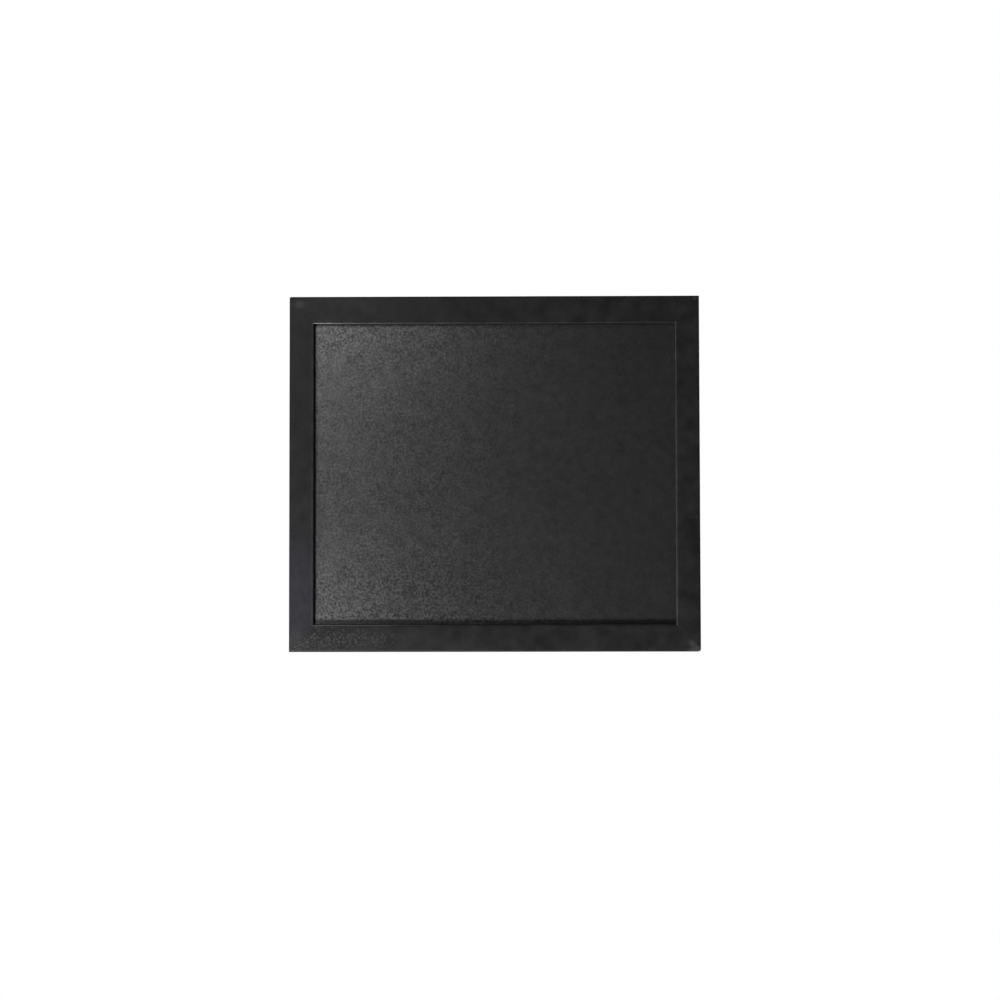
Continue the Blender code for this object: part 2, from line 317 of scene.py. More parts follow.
def body_mesh(name: str, points: Array, faces: list[list[int]]) -> bpy.types.Mesh:
    """Closed mesh with outward faces.

    Args:
        name: Name of the mesh.
        points: Vertices, one row each.
        faces: Vertex indices of each face.

    Returns:
        The mesh.
    """
    mesh = bpy.data.meshes.new(name)
    mesh.from_pydata(points.tolist(), [], faces)
    body = bmesh.new()
    body.from_mesh(mesh)
    bmesh.ops.remove_doubles(body, verts=body.verts, dist=MERGE_DISTANCE)
    bmesh.ops.recalc_face_normals(body, faces=body.faces)
    body.to_mesh(mesh)
    body.free()
    shade(mesh)
    return mesh


def lofted(name: str, grid: Array) -> bpy.types.Mesh:
    """Closed mesh through the rows of a grid, each of which closes round, with a cap at either end.

    Args:
        name: Name of the mesh.
        grid: Array of rows by columns by three.

    Returns:
        The mesh.
    """
    rows, columns = grid.shape[:2]
    faces = grid_faces(rows, columns, around=True).tolist()
    faces.append(list(range(columns)))
    faces.append(list(range((rows - 1) * columns, rows * columns)))
    return body_mesh(name, grid.reshape(-1, 3), faces)


def stamped(name: str, outline: Array, front: float, thickness: float, edge: float) -> bpy.types.Mesh:
    """Plate with rounded edges: the outline at each depth, shrunk where the edge's quarter arc says.

    Args:
        name: Name of the mesh.
        outline: Closed loop of X and Z.
        front: Y of the front face.
        thickness: Thickness along Y.
        edge: Radius of the edges.

    Returns:
        The mesh.
    """
    near = arc_points((edge, edge), edge, -QUARTER_TURN, -math.pi, PLATE_EDGE_STEPS)
    far = arc_points((edge, thickness - edge), edge, math.pi, QUARTER_TURN, PLATE_EDGE_STEPS)
    rings = []
    for inset, depth in np.concatenate((near, far)):
        ring = shrunk(outline, inset)
        rings.append(np.stack((ring[:, 0], np.full(len(ring), front + depth), ring[:, 1]), axis=1))
    return lofted(name, np.stack(rings))


def turned_grid(profile: Array, steps: int) -> Array:
    """Surface turned about the Y axis: each row is one profile point's radius times cosine and sine.

    Args:
        profile: Pairs of radius and Y.
        steps: Points round the axis.

    Returns:
        Grid of rows by steps by three.
    """
    turns = np.arange(steps) * math.tau / steps
    radii, depths = profile[:, 0][:, None], profile[:, 1][:, None]
    return np.stack((radii * np.cos(turns), depths + 0.0 * turns, radii * np.sin(turns)), axis=2)


def placed(mesh: bpy.types.Mesh, turn: float, place: Triple) -> bpy.types.Mesh:
    """Turns a mesh about Y, moves it, and returns it. Its object stays at the origin."""
    mesh.transform(Matrix.Translation(place) @ Matrix.Rotation(turn, 4, "Y"))
    return mesh


def cut_pockets(piece: bpy.types.Object, cutters: Sequence[bpy.types.Mesh]) -> None:
    """Cuts pockets out of a piece for good, and removes the cutters.

    Args:
        piece: The piece to cut.
        cutters: Closed meshes in the piece's own frame.
    """
    pockets = bpy.data.collections.new("pockets")
    bpy.context.scene.collection.children.link(pockets)
    for mesh in cutters:
        pockets.objects.link(bpy.data.objects.new(mesh.name, mesh))
    cut = piece.modifiers.new("pockets", "BOOLEAN")
    cut.operation = "DIFFERENCE"
    cut.operand_type = "COLLECTION"
    cut.collection = pockets
    cut.solver = "EXACT"
    bpy.context.view_layer.update()
    done = bpy.data.meshes.new_from_object(piece.evaluated_get(bpy.context.evaluated_depsgraph_get()))
    piece.modifiers.remove(cut)
    whole, piece.data = piece.data, done
    bpy.data.meshes.remove(whole)
    done.name = piece.name
    shade(done)
    for cutter in list(pockets.objects):
        mesh = cutter.data
        bpy.data.objects.remove(cutter)
        bpy.data.meshes.remove(mesh)
    bpy.data.collections.remove(pockets)


def mesh_points(mesh: bpy.types.Mesh) -> Array:
    """Vertices of a mesh as rows of X, Y, Z."""
    flat = np.zeros(len(mesh.vertices) * 3, np.float32)
    mesh.vertices.foreach_get("co", flat)
    return flat.reshape(-1, 3).astype(float)


def store_values(mesh: bpy.types.Mesh, name: str, values: Array) -> None:
    """Keeps one number for each vertex in the mesh, under a name that materials read."""
    attribute = mesh.attributes.new(name, "FLOAT", "POINT")
    attribute.data.foreach_set("value", values.astype(np.float32))


@dataclass(frozen=True)
class Piece:
    """One finished piece: what it stands for, what carries it and what it is made of."""

    node: str
    slot: str
    body: str = "board"

    def add(self, mesh: bpy.types.Mesh, material: bpy.types.Material) -> bpy.types.Object:
        """Puts the mesh in the scene in place of its node.

        Args:
            mesh: Finished mesh, in the board's frame.
            material: Finish of the piece.

        Returns:
            The new object.
        """
        mesh.name = f"{self.node}_shape"
        mesh.materials.append(material)
        piece = bpy.data.objects.new(f"{self.node}_shape", mesh)
        bpy.context.scene.collection.objects.link(piece)
        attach(piece, self.body)
        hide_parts(self.node)
        LOG.info("%s: %d vertices, %s", self.node, len(mesh.vertices), material.name)
        return piece


# Shader node groups


class Graph:
    """Adds nodes to one node tree and joins them."""

    def __init__(self, tree: bpy.types.NodeTree) -> None:
        """Works on the given tree."""
        self.tree = tree

    def node(self, kind: str, settings: dict | None = None, **inputs: object) -> bpy.types.Node:
        """Adds a node.

        Args:
            kind: Type of the node.
            settings: Its properties by name.
            inputs: Its inputs, by name with underscores for spaces, as values or as sockets to join.

        Returns:
            The node.
        """
        made = self.tree.nodes.new(kind)
        for name, value in (settings or {}).items():
            setattr(made, name, value)
        for name, value in inputs.items():
            self.feed(made.inputs[name.replace("_", " ")], value)
        return made

    def feed(self, socket: Socket, value: object) -> None:
        """Joins a socket to another, or sets its value."""
        if isinstance(value, bpy.types.NodeSocket):
            self.tree.links.new(value, socket)
        else:
            socket.default_value = value

    def maths(self, operation: str, *values: object, clamp: bool = False) -> Socket:
        """One sum.

        Args:
            operation: Name of the operation.
            values: Numbers or sockets.
            clamp: Whether the result is kept from 0 to 1.

        Returns:
            Socket of the result.
        """
        made = self.node("ShaderNodeMath", {"operation": operation, "use_clamp": clamp})
        for socket, value in zip(made.inputs, values):
            self.feed(socket, value)
        return made.outputs[0]

    def times(self, first: object, second: object) -> Socket:
        """First value times the second."""
        return self.maths("MULTIPLY", first, second)

    def plus(self, first: object, second: object) -> Socket:
        """First value plus the second."""
        return self.maths("ADD", first, second)

    def minus(self, first: object, second: object) -> Socket:
        """First value less the second."""
        return self.maths("SUBTRACT", first, second)

    def swing(self, value: Socket, strength: object) -> Socket:
        """How far a value from 0 to 1 lies from its middle, times a strength."""
        return self.times(self.minus(value, NOISE_MIDDLE), strength)

    def vector(self, operation: str, *values: object) -> bpy.types.Node:
        """One vector sum, as its node."""
        made = self.node("ShaderNodeVectorMath", {"operation": operation})
        for socket, value in zip(made.inputs, values):
            self.feed(socket, value)
        return made

    def ramp(self, value: Socket, low: float, high: float, start: float = 0.0, end: float = 1.0) -> Socket:
        """Smooth change from start to end while a value goes from low to high.

        Args:
            value: Socket of the value.
            low: Value at which the change begins.
            high: Value at which it ends.
            start: Result up to low.
            end: Result from high on.

        Returns:
            Socket of the result.
        """
        made = self.node("ShaderNodeMapRange", {"interpolation_type": "SMOOTHSTEP"}, Value=value)
        for name, number in (("From Min", low), ("From Max", high), ("To Min", start), ("To Max", end)):
            made.inputs[name].default_value = number
        return made.outputs[0]

    def noise(self, place: Socket, scale: object, detail: float, roughness: float = 0.5) -> Socket:
        """Cloudy noise from 0 to 1.

        Args:
            place: Socket of the place.
            scale: Number or socket; clouds are about its inverse across.
            detail: Octaves.
            roughness: Weight of the finer octaves.

        Returns:
            Socket of the value.
        """
        made = self.node(
            "ShaderNodeTexNoise", Vector=place, Scale=scale, Detail=detail, Roughness=roughness
        )
        return made.outputs[0]

    def blend(self, share: object, first: object, second: object) -> Socket:
        """Mix of two colours.

        Args:
            share: Share of the second.
            first: Colour or socket.
            second: Colour or socket.

        Returns:
            Socket of the colour.
        """
        made = self.node("ShaderNodeMix", {"data_type": "RGBA"})
        for name, value in (("Factor_Float", share), ("A_Color", first), ("B_Color", second)):
            socket = next(s for s in made.inputs if s.identifier == name)
            self.feed(socket, (*value, 1.0) if isinstance(value, tuple) else value)
        return next(s for s in made.outputs if s.identifier == "Result_Color")


class Effect(Enum):
    """The shared effects, each one node group."""

    PEBBLES = "pebbled grain"
    CLOUDS = "soft clouds"
    WORN_EDGE = "worn edge"
    RUB_MARK = "rub mark"
    DRAWN_LINES = "drawn lines"
    PRESSED_FIBRE = "pressed fibre"


class EffectGroup:
    """One effect as a node group with named inputs and outputs."""

    def __init__(self, effect: Effect, inputs: dict[str, float | None], outputs: Sequence[str]) -> None:
        """Makes the group and its sockets.

        Args:
            effect: Which effect it is.
            inputs: Default of each number by name, or None for a vector.
            outputs: Names of the numbers that it puts out.
        """
        self.tree = bpy.data.node_groups.new(effect.value, "ShaderNodeTree")
        for name, value in inputs.items():
            kind = "NodeSocketVector" if value is None else "NodeSocketFloat"
            socket = self.tree.interface.new_socket(name, in_out="INPUT", socket_type=kind)
            if value is not None:
                socket.default_value = value
        for name in outputs:
            self.tree.interface.new_socket(name, in_out="OUTPUT", socket_type="NodeSocketFloat")
        self.graph = Graph(self.tree)
        self.given = self.graph.node("NodeGroupInput").outputs
        self.result = self.graph.node("NodeGroupOutput").inputs

    def put(self, name: str, value: Socket) -> None:
        """Joins a value to a named output."""
        self.graph.feed(self.result[name], value)


class Effects:
    """Library of the shared effects, each built once, when it is first used."""

    def __init__(self) -> None:
        """Starts with no group built."""
        self._built: dict[Effect, bpy.types.NodeTree] = {}

    def use(self, graph: Graph, effect: Effect, **inputs: object) -> bpy.types.Node:
        """Places an effect in a material.

        Args:
            graph: The material's graph.
            effect: Which effect.
            inputs: Values or sockets for its inputs, with underscores for spaces.

        Returns:
            The group's node.
        """
        if effect not in self._built:
            builder = {
                Effect.PEBBLES: self._pebbles,
                Effect.CLOUDS: self._clouds,
                Effect.WORN_EDGE: self._worn_edge,
                Effect.RUB_MARK: self._rub_mark,
                Effect.DRAWN_LINES: self._drawn_lines,
                Effect.PRESSED_FIBRE: self._pressed_fibre,
            }[effect]
            self._built[effect] = builder()
        made = graph.node("ShaderNodeGroup", {"node_tree": self._built[effect]})
        for name, value in inputs.items():
            graph.feed(made.inputs[name.replace("_", " ")], value)
        return made

    @staticmethod
    def _pebbles() -> bpy.types.NodeTree:
        """Rounded pebbles about a pitch apart with dots of gloss on them, stronger in some patches.

        Returns:
            The group's tree.
        """
        softness, dome_share, patch_scale, patch_levels = 0.6, 0.4, 0.13, (0.35, 0.65)
        inputs = {"Place": None, "Pitch": 0.0016, "Patchiness": 0.5}
        group = EffectGroup(Effect.PEBBLES, inputs, ("Height", "Dots"))
        graph, place = group.graph, group.given["Place"]
        scale = graph.maths("DIVIDE", 1.0, group.given["Pitch"])
        cells = graph.node("ShaderNodeTexVoronoi", {"feature": "SMOOTH_F1"}, Vector=place, Scale=scale)
        cells.inputs["Smoothness"].default_value = softness
        dome = graph.maths("SUBTRACT", 1.0, cells.outputs["Distance"], clamp=True)
        dots = graph.noise(place, scale, 1.0)
        mixed = graph.plus(graph.times(dome, dome_share), graph.times(dots, 1.0 - dome_share))
        patches = graph.ramp(graph.noise(place, graph.times(scale, patch_scale), 2.0), *patch_levels)
        weaker = graph.times(group.given["Patchiness"], graph.minus(1.0, patches))
        strength = graph.minus(1.0, weaker)
        group.put("Height", graph.times(mixed, strength))
        group.put("Dots", graph.plus(graph.swing(dots, strength), NOISE_MIDDLE))
        return group.tree

    @staticmethod
    def _clouds() -> bpy.types.NodeTree:
        """Soft patches about a size across, round a middle of a half.

        Returns:
            The group's tree.
        """
        detail, roughness = 3.0, 0.55
        group = EffectGroup(Effect.CLOUDS, {"Place": None, "Size": 0.02, "Contrast": 1.0}, ("Value",))
        graph, given = group.graph, group.given
        scale = graph.maths("DIVIDE", 1.0, given["Size"])
        value = graph.noise(given["Place"], scale, detail, roughness)
        swing = graph.swing(value, given["Contrast"])
        group.put("Value", graph.maths("ADD", swing, NOISE_MIDDLE, clamp=True))
        return group.tree

    @staticmethod
    def _worn_edge() -> bpy.types.NodeTree:
        """Mask of an edge that is rubbed thin in broken stretches.

        Returns:
            The group's tree.
        """
        detail, roughness, softness = 4.0, 0.65, 0.16
        inputs = {"Place": None, "Edge": 0.0, "Size": 0.004, "Cover": 0.5}
        group = EffectGroup(Effect.WORN_EDGE, inputs, ("Mask",))
        graph, given = group.graph, group.given
        scale = graph.maths("DIVIDE", 1.0, given["Size"])
        broken = graph.noise(given["Place"], scale, detail, roughness)
        level = graph.plus(graph.minus(broken, 1.0), given["Cover"])
        group.put("Mask", graph.times(graph.ramp(level, 0.0, softness), given["Edge"]))
        return group.tree

    @staticmethod
    def _rub_mark() -> bpy.types.NodeTree:
        """Mask of one mark: full at the middle of a unit ball, gone at its skin, and mottled.

        Returns:
            The group's tree.
        """
        detail, roughness, core, spot_levels = 3.0, 0.6, 0.25, (0.38, 0.62)
        inputs = {"Place": None, "Within": None, "Size": 0.002, "Mottle": 0.6}
        group = EffectGroup(Effect.RUB_MARK, inputs, ("Mask",))
        graph, given = group.graph, group.given
        away = graph.vector("LENGTH", given["Within"]).outputs["Value"]
        body = graph.ramp(away, 1.0, core)
        scale = graph.maths("DIVIDE", 1.0, given["Size"])
        spots = graph.ramp(graph.noise(given["Place"], scale, detail, roughness), *spot_levels)
        lost = graph.times(given["Mottle"], graph.minus(1.0, spots))
        group.put("Mask", graph.times(body, graph.minus(1.0, lost)))
        return group.tree

    @staticmethod
    def _drawn_lines() -> bpy.types.NodeTree:
        """Fine lines left by rolling or by a plane, in a place that is already stretched along them.

        Returns:
            The group's tree.
        """
        detail, roughness, broad_scale = 3.0, 0.7, 0.23
        fine_share, tone_levels = 0.6, (0.3, 0.7)
        group = EffectGroup(Effect.DRAWN_LINES, {"Place": None}, ("Height", "Tone"))
        graph, place = group.graph, group.given["Place"]
        fine = graph.noise(place, 1.0, detail, roughness)
        broad = graph.noise(place, broad_scale, 2.0)
        mixed = graph.plus(graph.times(fine, fine_share), graph.times(broad, 1.0 - fine_share))
        group.put("Height", mixed)
        group.put("Tone", graph.ramp(broad, *tone_levels))
        return group.tree

    @staticmethod
    def _pressed_fibre() -> bpy.types.NodeTree:
        """Matted fibres with the crossed print of the screen that they were pressed on.

        The print is the product of a sine along X and one along Z. The flecks are the highest of
        three noises that are drawn out along differently turned lines.

        Returns:
            The group's tree.
        """
        drift_scale, drift_reach, print_share = 90.0, 5.0, 0.25
        matted_scale, tone_scale, detail, roughness = 1400.0, 340.0, 5.0, 0.7
        fleck_size, fleck_turns, fleck_levels = (0.0032, 0.0011, 0.00055), (0.3, 1.35, 2.4), (0.6, 0.75)
        group = EffectGroup(
            Effect.PRESSED_FIBRE, {"Place": None, "Mesh": 0.0011}, ("Height", "Tone", "Fleck")
        )
        graph, place = group.graph, group.given["Place"]
        pace = graph.maths("DIVIDE", math.tau, group.given["Mesh"])
        parts = graph.node("ShaderNodeSeparateXYZ", Vector=place).outputs
        drift = graph.times(graph.noise(place, drift_scale, 2.0), drift_reach)
        waves = [
            graph.maths("SINE", graph.plus(graph.times(parts[axis], pace), drift)) for axis in ("X", "Z")
        ]
        screen = graph.times(graph.times(*waves), print_share)
        group.put("Height", graph.plus(screen, graph.noise(place, matted_scale, detail, roughness)))
        group.put("Tone", graph.noise(place, tone_scale, detail, roughness))
        fleck = 0.0
        for turn in fleck_turns:
            strands = graph.node("ShaderNodeMapping", {"vector_type": "TEXTURE"}, Vector=place)
            strands.inputs["Rotation"].default_value = (0.0, turn, 0.0)
            strands.inputs["Scale"].default_value = fleck_size
            fleck = graph.maths("MAXIMUM", fleck, graph.noise(strands.outputs[0], 1.0, 3.0, 0.6))
        group.put("Fleck", graph.ramp(fleck, *fleck_levels))
        return group.tree


EFFECTS = Effects()


# Finishes


class Grain(Enum):
    """Which way a piece of wood's grain runs, as how much a place is squeezed along X, Y and Z."""

    ACROSS = (28.0, 1500.0, 1500.0)
    UPRIGHT = (1500.0, 1500.0, 28.0)


@dataclass(frozen=True)
class Mark:
    """A rubbed or mottled place in the lacquer, or one that paints glints or sheen, by its middle and reach
    in the photograph's pixels.

    Its size is that of its mottling in metres, and its depth how far it reaches behind the front.
    """

    middle: Pair
    reach: Pair
    strength: float
    turn: float = 0.0
    size: float = 0.0016
    mottle: float = 0.6
    depth: float = 0.004

    def mask(self, graph: Graph, place: Socket) -> Socket:
        """Mask of the mark.

        Args:
            graph: The material's graph.
            place: Socket of the place.

        Returns:
            Socket of the mask, up to the mark's strength.
        """
        x, z = board_point(self.middle)
        within = graph.node("ShaderNodeMapping", {"vector_type": "TEXTURE"}, Vector=place)
        within.inputs["Location"].default_value = (x, SIZES.front, z)
        within.inputs["Rotation"].default_value = (0.0, self.turn, 0.0)
        within.inputs["Scale"].default_value = (self.reach[0] * PIXEL, self.depth, self.reach[1] * PIXEL)
        inputs = {"Place": place, "Within": within.outputs[0], "Size": self.size, "Mottle": self.mottle}
        mark = EFFECTS.use(graph, Effect.RUB_MARK, **inputs)
        return graph.times(mark.outputs["Mask"], self.strength)


MITRE_TURN = math.atan2(SIZES.rail_face, SIZES.stile_face)

# Worn spots: along the top sight edge, at the corners, on the top rail and on the right stile's side
MARKS = (
    Mark((319.5, 323.2), (6.0, 1.6), 0.9),
    Mark((328.5, 323.2), (2.6, 1.8), 1.0, mottle=0.1),
    Mark((299.0, 304.0), (9.0, 6.0), 0.42),
    Mark((301.0, 312.0), (11.0, 3.0), 0.12),
    Mark((691.5, 645.0), (9.5, 5.0), 0.75, turn=MITRE_TURN, mottle=0.4),
    Mark((695.5, 649.0), (13.0, 5.0), 1.0, mottle=0.3),
    Mark((345.0, 308.0), (80.0, 28.0), 0.1, mottle=0.5, size=0.005),
    Mark((295.0, 641.0), (13.0, 20.0), 0.3, mottle=0.7),
    Mark((694.5, 299.0), (3.0, 2.2), 0.5),
    Mark((695.0, 517.0), (1.8, 3.0), 0.3),
    Mark((303.0, 644.0), (12.0, 6.0), 0.3),
)

# The gritty patch on the bottom rail, whose light flecks are painted glints, and the purple tint low on the
# left stile, lighter than the lacquer, which paints a sheen there
GRIT_AND_GLINTS = Mark((318.0, 638.0), (112.0, 17.0), 1.0, mottle=0.3, size=0.006)
VIOLET_TINT_AND_SHEEN = Mark((300.0, 593.0), (26.0, 82.0), 0.6, mottle=0.4, size=0.004)


@dataclass(frozen=True)
class Finish:
    """What every finish has: a name, a colour, a roughness, how strongly it reflects and its relief.

    In all finishes, a pair named band, levels, places or reach holds where a smooth change begins and
    ends. A pair named strengths or roughnesses holds what it goes from and to, and one named tones
    the same as shares of the colour.
    """

    name: str
    colour: Triple
    roughness: float
    specular: float = 0.5
    metallic: float = 0.0
    relief: float = 0.0

    def start(self) -> tuple[bpy.types.Material, Graph, bpy.types.Node, Socket]:
        """Material with a plain shader.

        Returns:
            The material, its graph, its shader and the socket of the place on the object.
        """
        material = bpy.data.materials.new(self.name)
        material.use_nodes = True
        graph = Graph(material.node_tree)
        shader = material.node_tree.nodes["Principled BSDF"]
        shader.inputs["Base Color"].default_value = (*self.colour, 1.0)
        shader.inputs["Roughness"].default_value = self.roughness
        shader.inputs["Metallic"].default_value = self.metallic
        shader.inputs["Specular IOR Level"].default_value = self.specular
        place = graph.node("ShaderNodeTexCoord").outputs["Object"]
        return material, graph, shader, place

    def tint(self, share: float) -> Triple:
        """The finish's colour times a share."""
        return tuple(share * part for part in self.colour)

    def clouded(self, graph: Graph, clouds: Socket, tones: Pair) -> Socket:
        """Colour that goes with the clouds from one share of the finish's to another."""
        return graph.blend(clouds, self.tint(tones[0]), self.tint(tones[1]))

    @staticmethod
    def clouds(graph: Graph, place: Socket, size: float, contrast: float) -> Socket:
        """Value of soft clouds about a size across."""
        return EFFECTS.use(graph, Effect.CLOUDS, Place=place, Size=size, Contrast=contrast).outputs["Value"]

    @staticmethod
    def pebbles(graph: Graph, place: Socket, pitch: float, patchiness: float) -> bpy.types.Node:
        """Pebbled grain about a pitch apart."""
        return EFFECTS.use(graph, Effect.PEBBLES, Place=place, Pitch=pitch, Patchiness=patchiness)

    def raise_surface(self, graph: Graph, shader: bpy.types.Node, height: Socket) -> None:
        """Gives a shader the finish's relief.

        Args:
            graph: The material's graph.
            shader: The shader.
            height: Socket of the height, where 1 is the whole relief.
        """
        bump = graph.node("ShaderNodeBump", Height=height)
        bump.inputs["Strength"].default_value = 1.0
        bump.inputs["Distance"].default_value = self.relief
        graph.feed(shader.inputs["Normal"], bump.outputs[0])


@dataclass(frozen=True)
class Lacquer(Finish):
    """Satin black lacquer on wood: worn at its edges and marks, burnished at the sight edge."""

    relief: float = 0.00006
    grain: Grain = Grain.ACROSS
    burnish: float = 0.42
    burnish_roughness: float = 0.21
    burnish_levels: Pair = (0.25, 0.75)
    burnish_least: float = 0.6
    polish: float = 0.19
    side_dullness: float = 0.38
    side_band: Pair = (0.0006, 0.0002)
    # Light grey for rubbed wear, which the gritty patch also uses for its painted glints
    worn: Triple = (0.073, 0.073, 0.072)
    worn_share: float = 0.55
    worn_gloss: float = 0.3
    worn_roughness: float = 0.1
    edge_cover: float = 0.34
    # Purple tint, lighter than the lacquer, which also paints a sheen low on the left stile
    violet: Triple = (0.028, 0.0265, 0.038)
    bare_back: Triple = (0.02, 0.016, 0.0125)
    back_band: Pair = (-0.0012, -0.0004)
    cloud_size: float = 0.010
    cloud_contrast: float = 2.2
    cloud_tones: Pair = (0.7, 1.3)
    cloud_roughness: float = 0.14
    grit_pitch: float = 0.0016
    grit_patchiness: float = 0.4
    grit_levels: Pair = (0.45, 0.65)
    grit_height: float = 0.9
    pebble_height: float = 0.16
    line_height: float = 0.1

    def material(self) -> bpy.types.Material:
        """Builds the material.

        Returns:
            The material.
        """
        material, graph, shader, place = self.start()
        across = self.grain is Grain.ACROSS
        parts = graph.node("ShaderNodeSeparateXYZ", Vector=place).outputs
        squeezed = graph.node("ShaderNodeMapping", Vector=place)
        squeezed.inputs["Scale"].default_value = self.grain.value
        lines = EFFECTS.use(graph, Effect.DRAWN_LINES, Place=squeezed.outputs[0]).outputs
        clouds = self.clouds(graph, place, self.cloud_size, self.cloud_contrast)
        pebbles = self.pebbles(graph, place, self.grit_pitch, self.grit_patchiness).outputs
        marks = self.marks(graph, place)
        # The rails' patch is gritty, with painted glints; the stiles' is a purple tint with a painted sheen
        patch = (GRIT_AND_GLINTS if across else VIOLET_TINT_AND_SHEEN).mask(graph, place)
        grit_and_glints = patch if across else 0.0

        tone = self.clouded(graph, clouds, self.cloud_tones)
        back = graph.times(graph.ramp(parts["Y"], *self.back_band), lines["Tone"])
        tone = graph.blend(back, tone, self.bare_back)
        if not across:
            tone = graph.blend(patch, tone, self.violet)
        # Painted glints: light flecks of the worn grey in the gritty patch
        painted_glints = graph.times(grit_and_glints, graph.ramp(pebbles["Dots"], *self.grit_levels))
        for worn in (painted_glints, marks):
            tone = graph.blend(graph.times(worn, self.worn_share), tone, self.worn)
        graph.feed(shader.inputs["Base Color"], tone)

        sight = graph.node("ShaderNodeAttribute", {"attribute_name": SIGHT_ATTRIBUTE}).outputs["Fac"]
        uneven = graph.ramp(clouds, *self.burnish_levels, self.burnish_least, 1.0)
        rubbed = graph.times(graph.times(sight, uneven), self.burnish)
        graph.feed(shader.inputs["Coat Weight"], graph.plus(rubbed, graph.times(marks, self.worn_gloss)))
        shader.inputs["Coat Roughness"].default_value = self.burnish_roughness

        rough = graph.plus(graph.swing(clouds, self.cloud_roughness), self.roughness)
        rough = graph.plus(rough, graph.times(marks, self.worn_roughness))
        rough = graph.plus(rough, graph.times(self.outside(graph, parts), self.side_dullness))
        graph.feed(shader.inputs["Roughness"], graph.minus(rough, graph.times(sight, self.polish)))

        raised = graph.plus(graph.times(grit_and_glints, self.grit_height), self.pebble_height)
        fine, gritty = graph.times(lines["Height"], self.line_height), graph.times(pebbles["Height"], raised)
        self.raise_surface(graph, shader, graph.plus(fine, gritty))
        return material

    def marks(self, graph: Graph, place: Socket) -> Socket:
        """Worn places: the strongest of the worn edge and every mark.

        Args:
            graph: The material's graph.
            place: Socket of the place.

        Returns:
            Socket of the mask.
        """
        edge = graph.node("ShaderNodeAttribute", {"attribute_name": EDGE_ATTRIBUTE}).outputs["Fac"]
        worn = EFFECTS.use(graph, Effect.WORN_EDGE, Place=place, Edge=edge, Cover=self.edge_cover)
        marks = worn.outputs["Mask"]
        for mark in MARKS:
            marks = graph.maths("MAXIMUM", marks, mark.mask(graph, place))
        return marks

    def outside(self, graph: Graph, parts: bpy.types.bpy_prop_collection) -> Socket:
        """Mask of the frame's outer sides: 1 where X or Z is at most the band's end from the outline.

        Args:
            graph: The material's graph.
            parts: Sockets of X, Y and Z.

        Returns:
            Socket of the mask.
        """
        from_middle = graph.minus(parts["Z"], SIZES.middle)
        masks = [
            graph.ramp(graph.maths("ABSOLUTE", value), *(half - part for part in self.side_band))
            for value, half in ((parts["X"], SIZES.width / 2), (from_middle, SIZES.height / 2))
        ]
        return graph.maths("MAXIMUM", *masks)


@dataclass(frozen=True)
class Laminate(Finish):
    """Matt black writing sheet with a fine pebbled grain, whose glints fade to the right."""

    relief: float = 0.00010
    pitch: float = 0.00147
    patchiness: float = 0.35
    cloud_size: float = 0.03
    cloud_contrast: float = 1.2
    cloud_tones: Pair = (0.86, 1.14)
    cloud_roughness: float = 0.03
    hollow_share: float = 0.88
    hollow_levels: Pair = (0.5, 0.35)
    coat_index: float = 1.8
    drift_size: float = 0.005
    drift_contrast: float = 0.8
    glint_middle: float = 0.26
    glint_places: Pair = (-0.1, 0.11)
    glint_strengths: Pair = (3.25, 0.4)
    calm_rise: float = 0.01
    calm_reach: Pair = (0.045, 0.1)
    calm_strengths: Pair = (0.6, 1.15)
    lean_places: Pair = (-0.11, -0.04)
    lean_strengths: Pair = (0.03, -0.04)
    margin_reach: Pair = (0.0036, 0.0029)
    margin_places: Pair = (-0.01, -0.07)
    margin_dullness: float = 0.7

    def material(self) -> bpy.types.Material:
        """Builds the material.

        Returns:
            The material.
        """
        material, graph, shader, place = self.start()
        pebbles = self.pebbles(graph, place, self.pitch, self.patchiness).outputs
        clouds = self.clouds(graph, place, self.cloud_size, self.cloud_contrast)
        tone = self.clouded(graph, clouds, self.cloud_tones)
        # Painted shade: the sheet's colour is darker where the grain is low, between the pebbles
        shaded_hollows = graph.ramp(pebbles["Dots"], *self.hollow_levels)
        graph.feed(shader.inputs["Base Color"], graph.blend(shaded_hollows, tone, self.tint(self.hollow_share)))
        rough = graph.plus(graph.swing(clouds, self.cloud_roughness), self.roughness)
        graph.feed(shader.inputs["Roughness"], rough)
        graph.feed(shader.inputs["Coat Weight"], self.gloss(graph, place, pebbles["Dots"]))
        shader.inputs["Coat Roughness"].default_value = self.roughness
        shader.inputs["Coat IOR"].default_value = self.coat_index
        self.raise_surface(graph, shader, pebbles["Height"])
        return material

    def gloss(self, graph: Graph, place: Socket, dots: Socket) -> Socket:
        """Gloss: soft clouds plus the squares of the dots, and dull in a margin low on the left.

        The dots' part fades to the right and in a band across the middle. The clouds' part is a
        little more on the left.

        Args:
            graph: The material's graph.
            place: Socket of the place.
            dots: Socket of the dots.

        Returns:
            Socket of the gloss.
        """
        parts = graph.node("ShaderNodeSeparateXYZ", Vector=place).outputs
        fading = graph.ramp(parts["X"], *self.glint_places, *self.glint_strengths)
        from_band = graph.maths("ABSOLUTE", graph.minus(parts["Z"], SIZES.middle + self.calm_rise))
        calmer = graph.ramp(from_band, *self.calm_reach, *self.calm_strengths)
        glint = graph.minus(graph.maths("POWER", dots, 2.0), self.glint_middle)
        glint = graph.times(graph.times(glint, fading), calmer)
        drift = self.clouds(graph, place, self.drift_size, self.drift_contrast)
        drift = graph.plus(drift, graph.ramp(parts["X"], *self.lean_places, *self.lean_strengths))
        above = graph.minus(parts["Z"], SIZES.bottom + SIZES.rail_face)
        low, left = graph.ramp(above, *self.margin_reach), graph.ramp(parts["X"], *self.margin_places)
        kept = graph.minus(1.0, graph.times(graph.times(low, left), self.margin_dullness))
        return graph.times(graph.maths("ADD", drift, glint, clamp=True), kept)


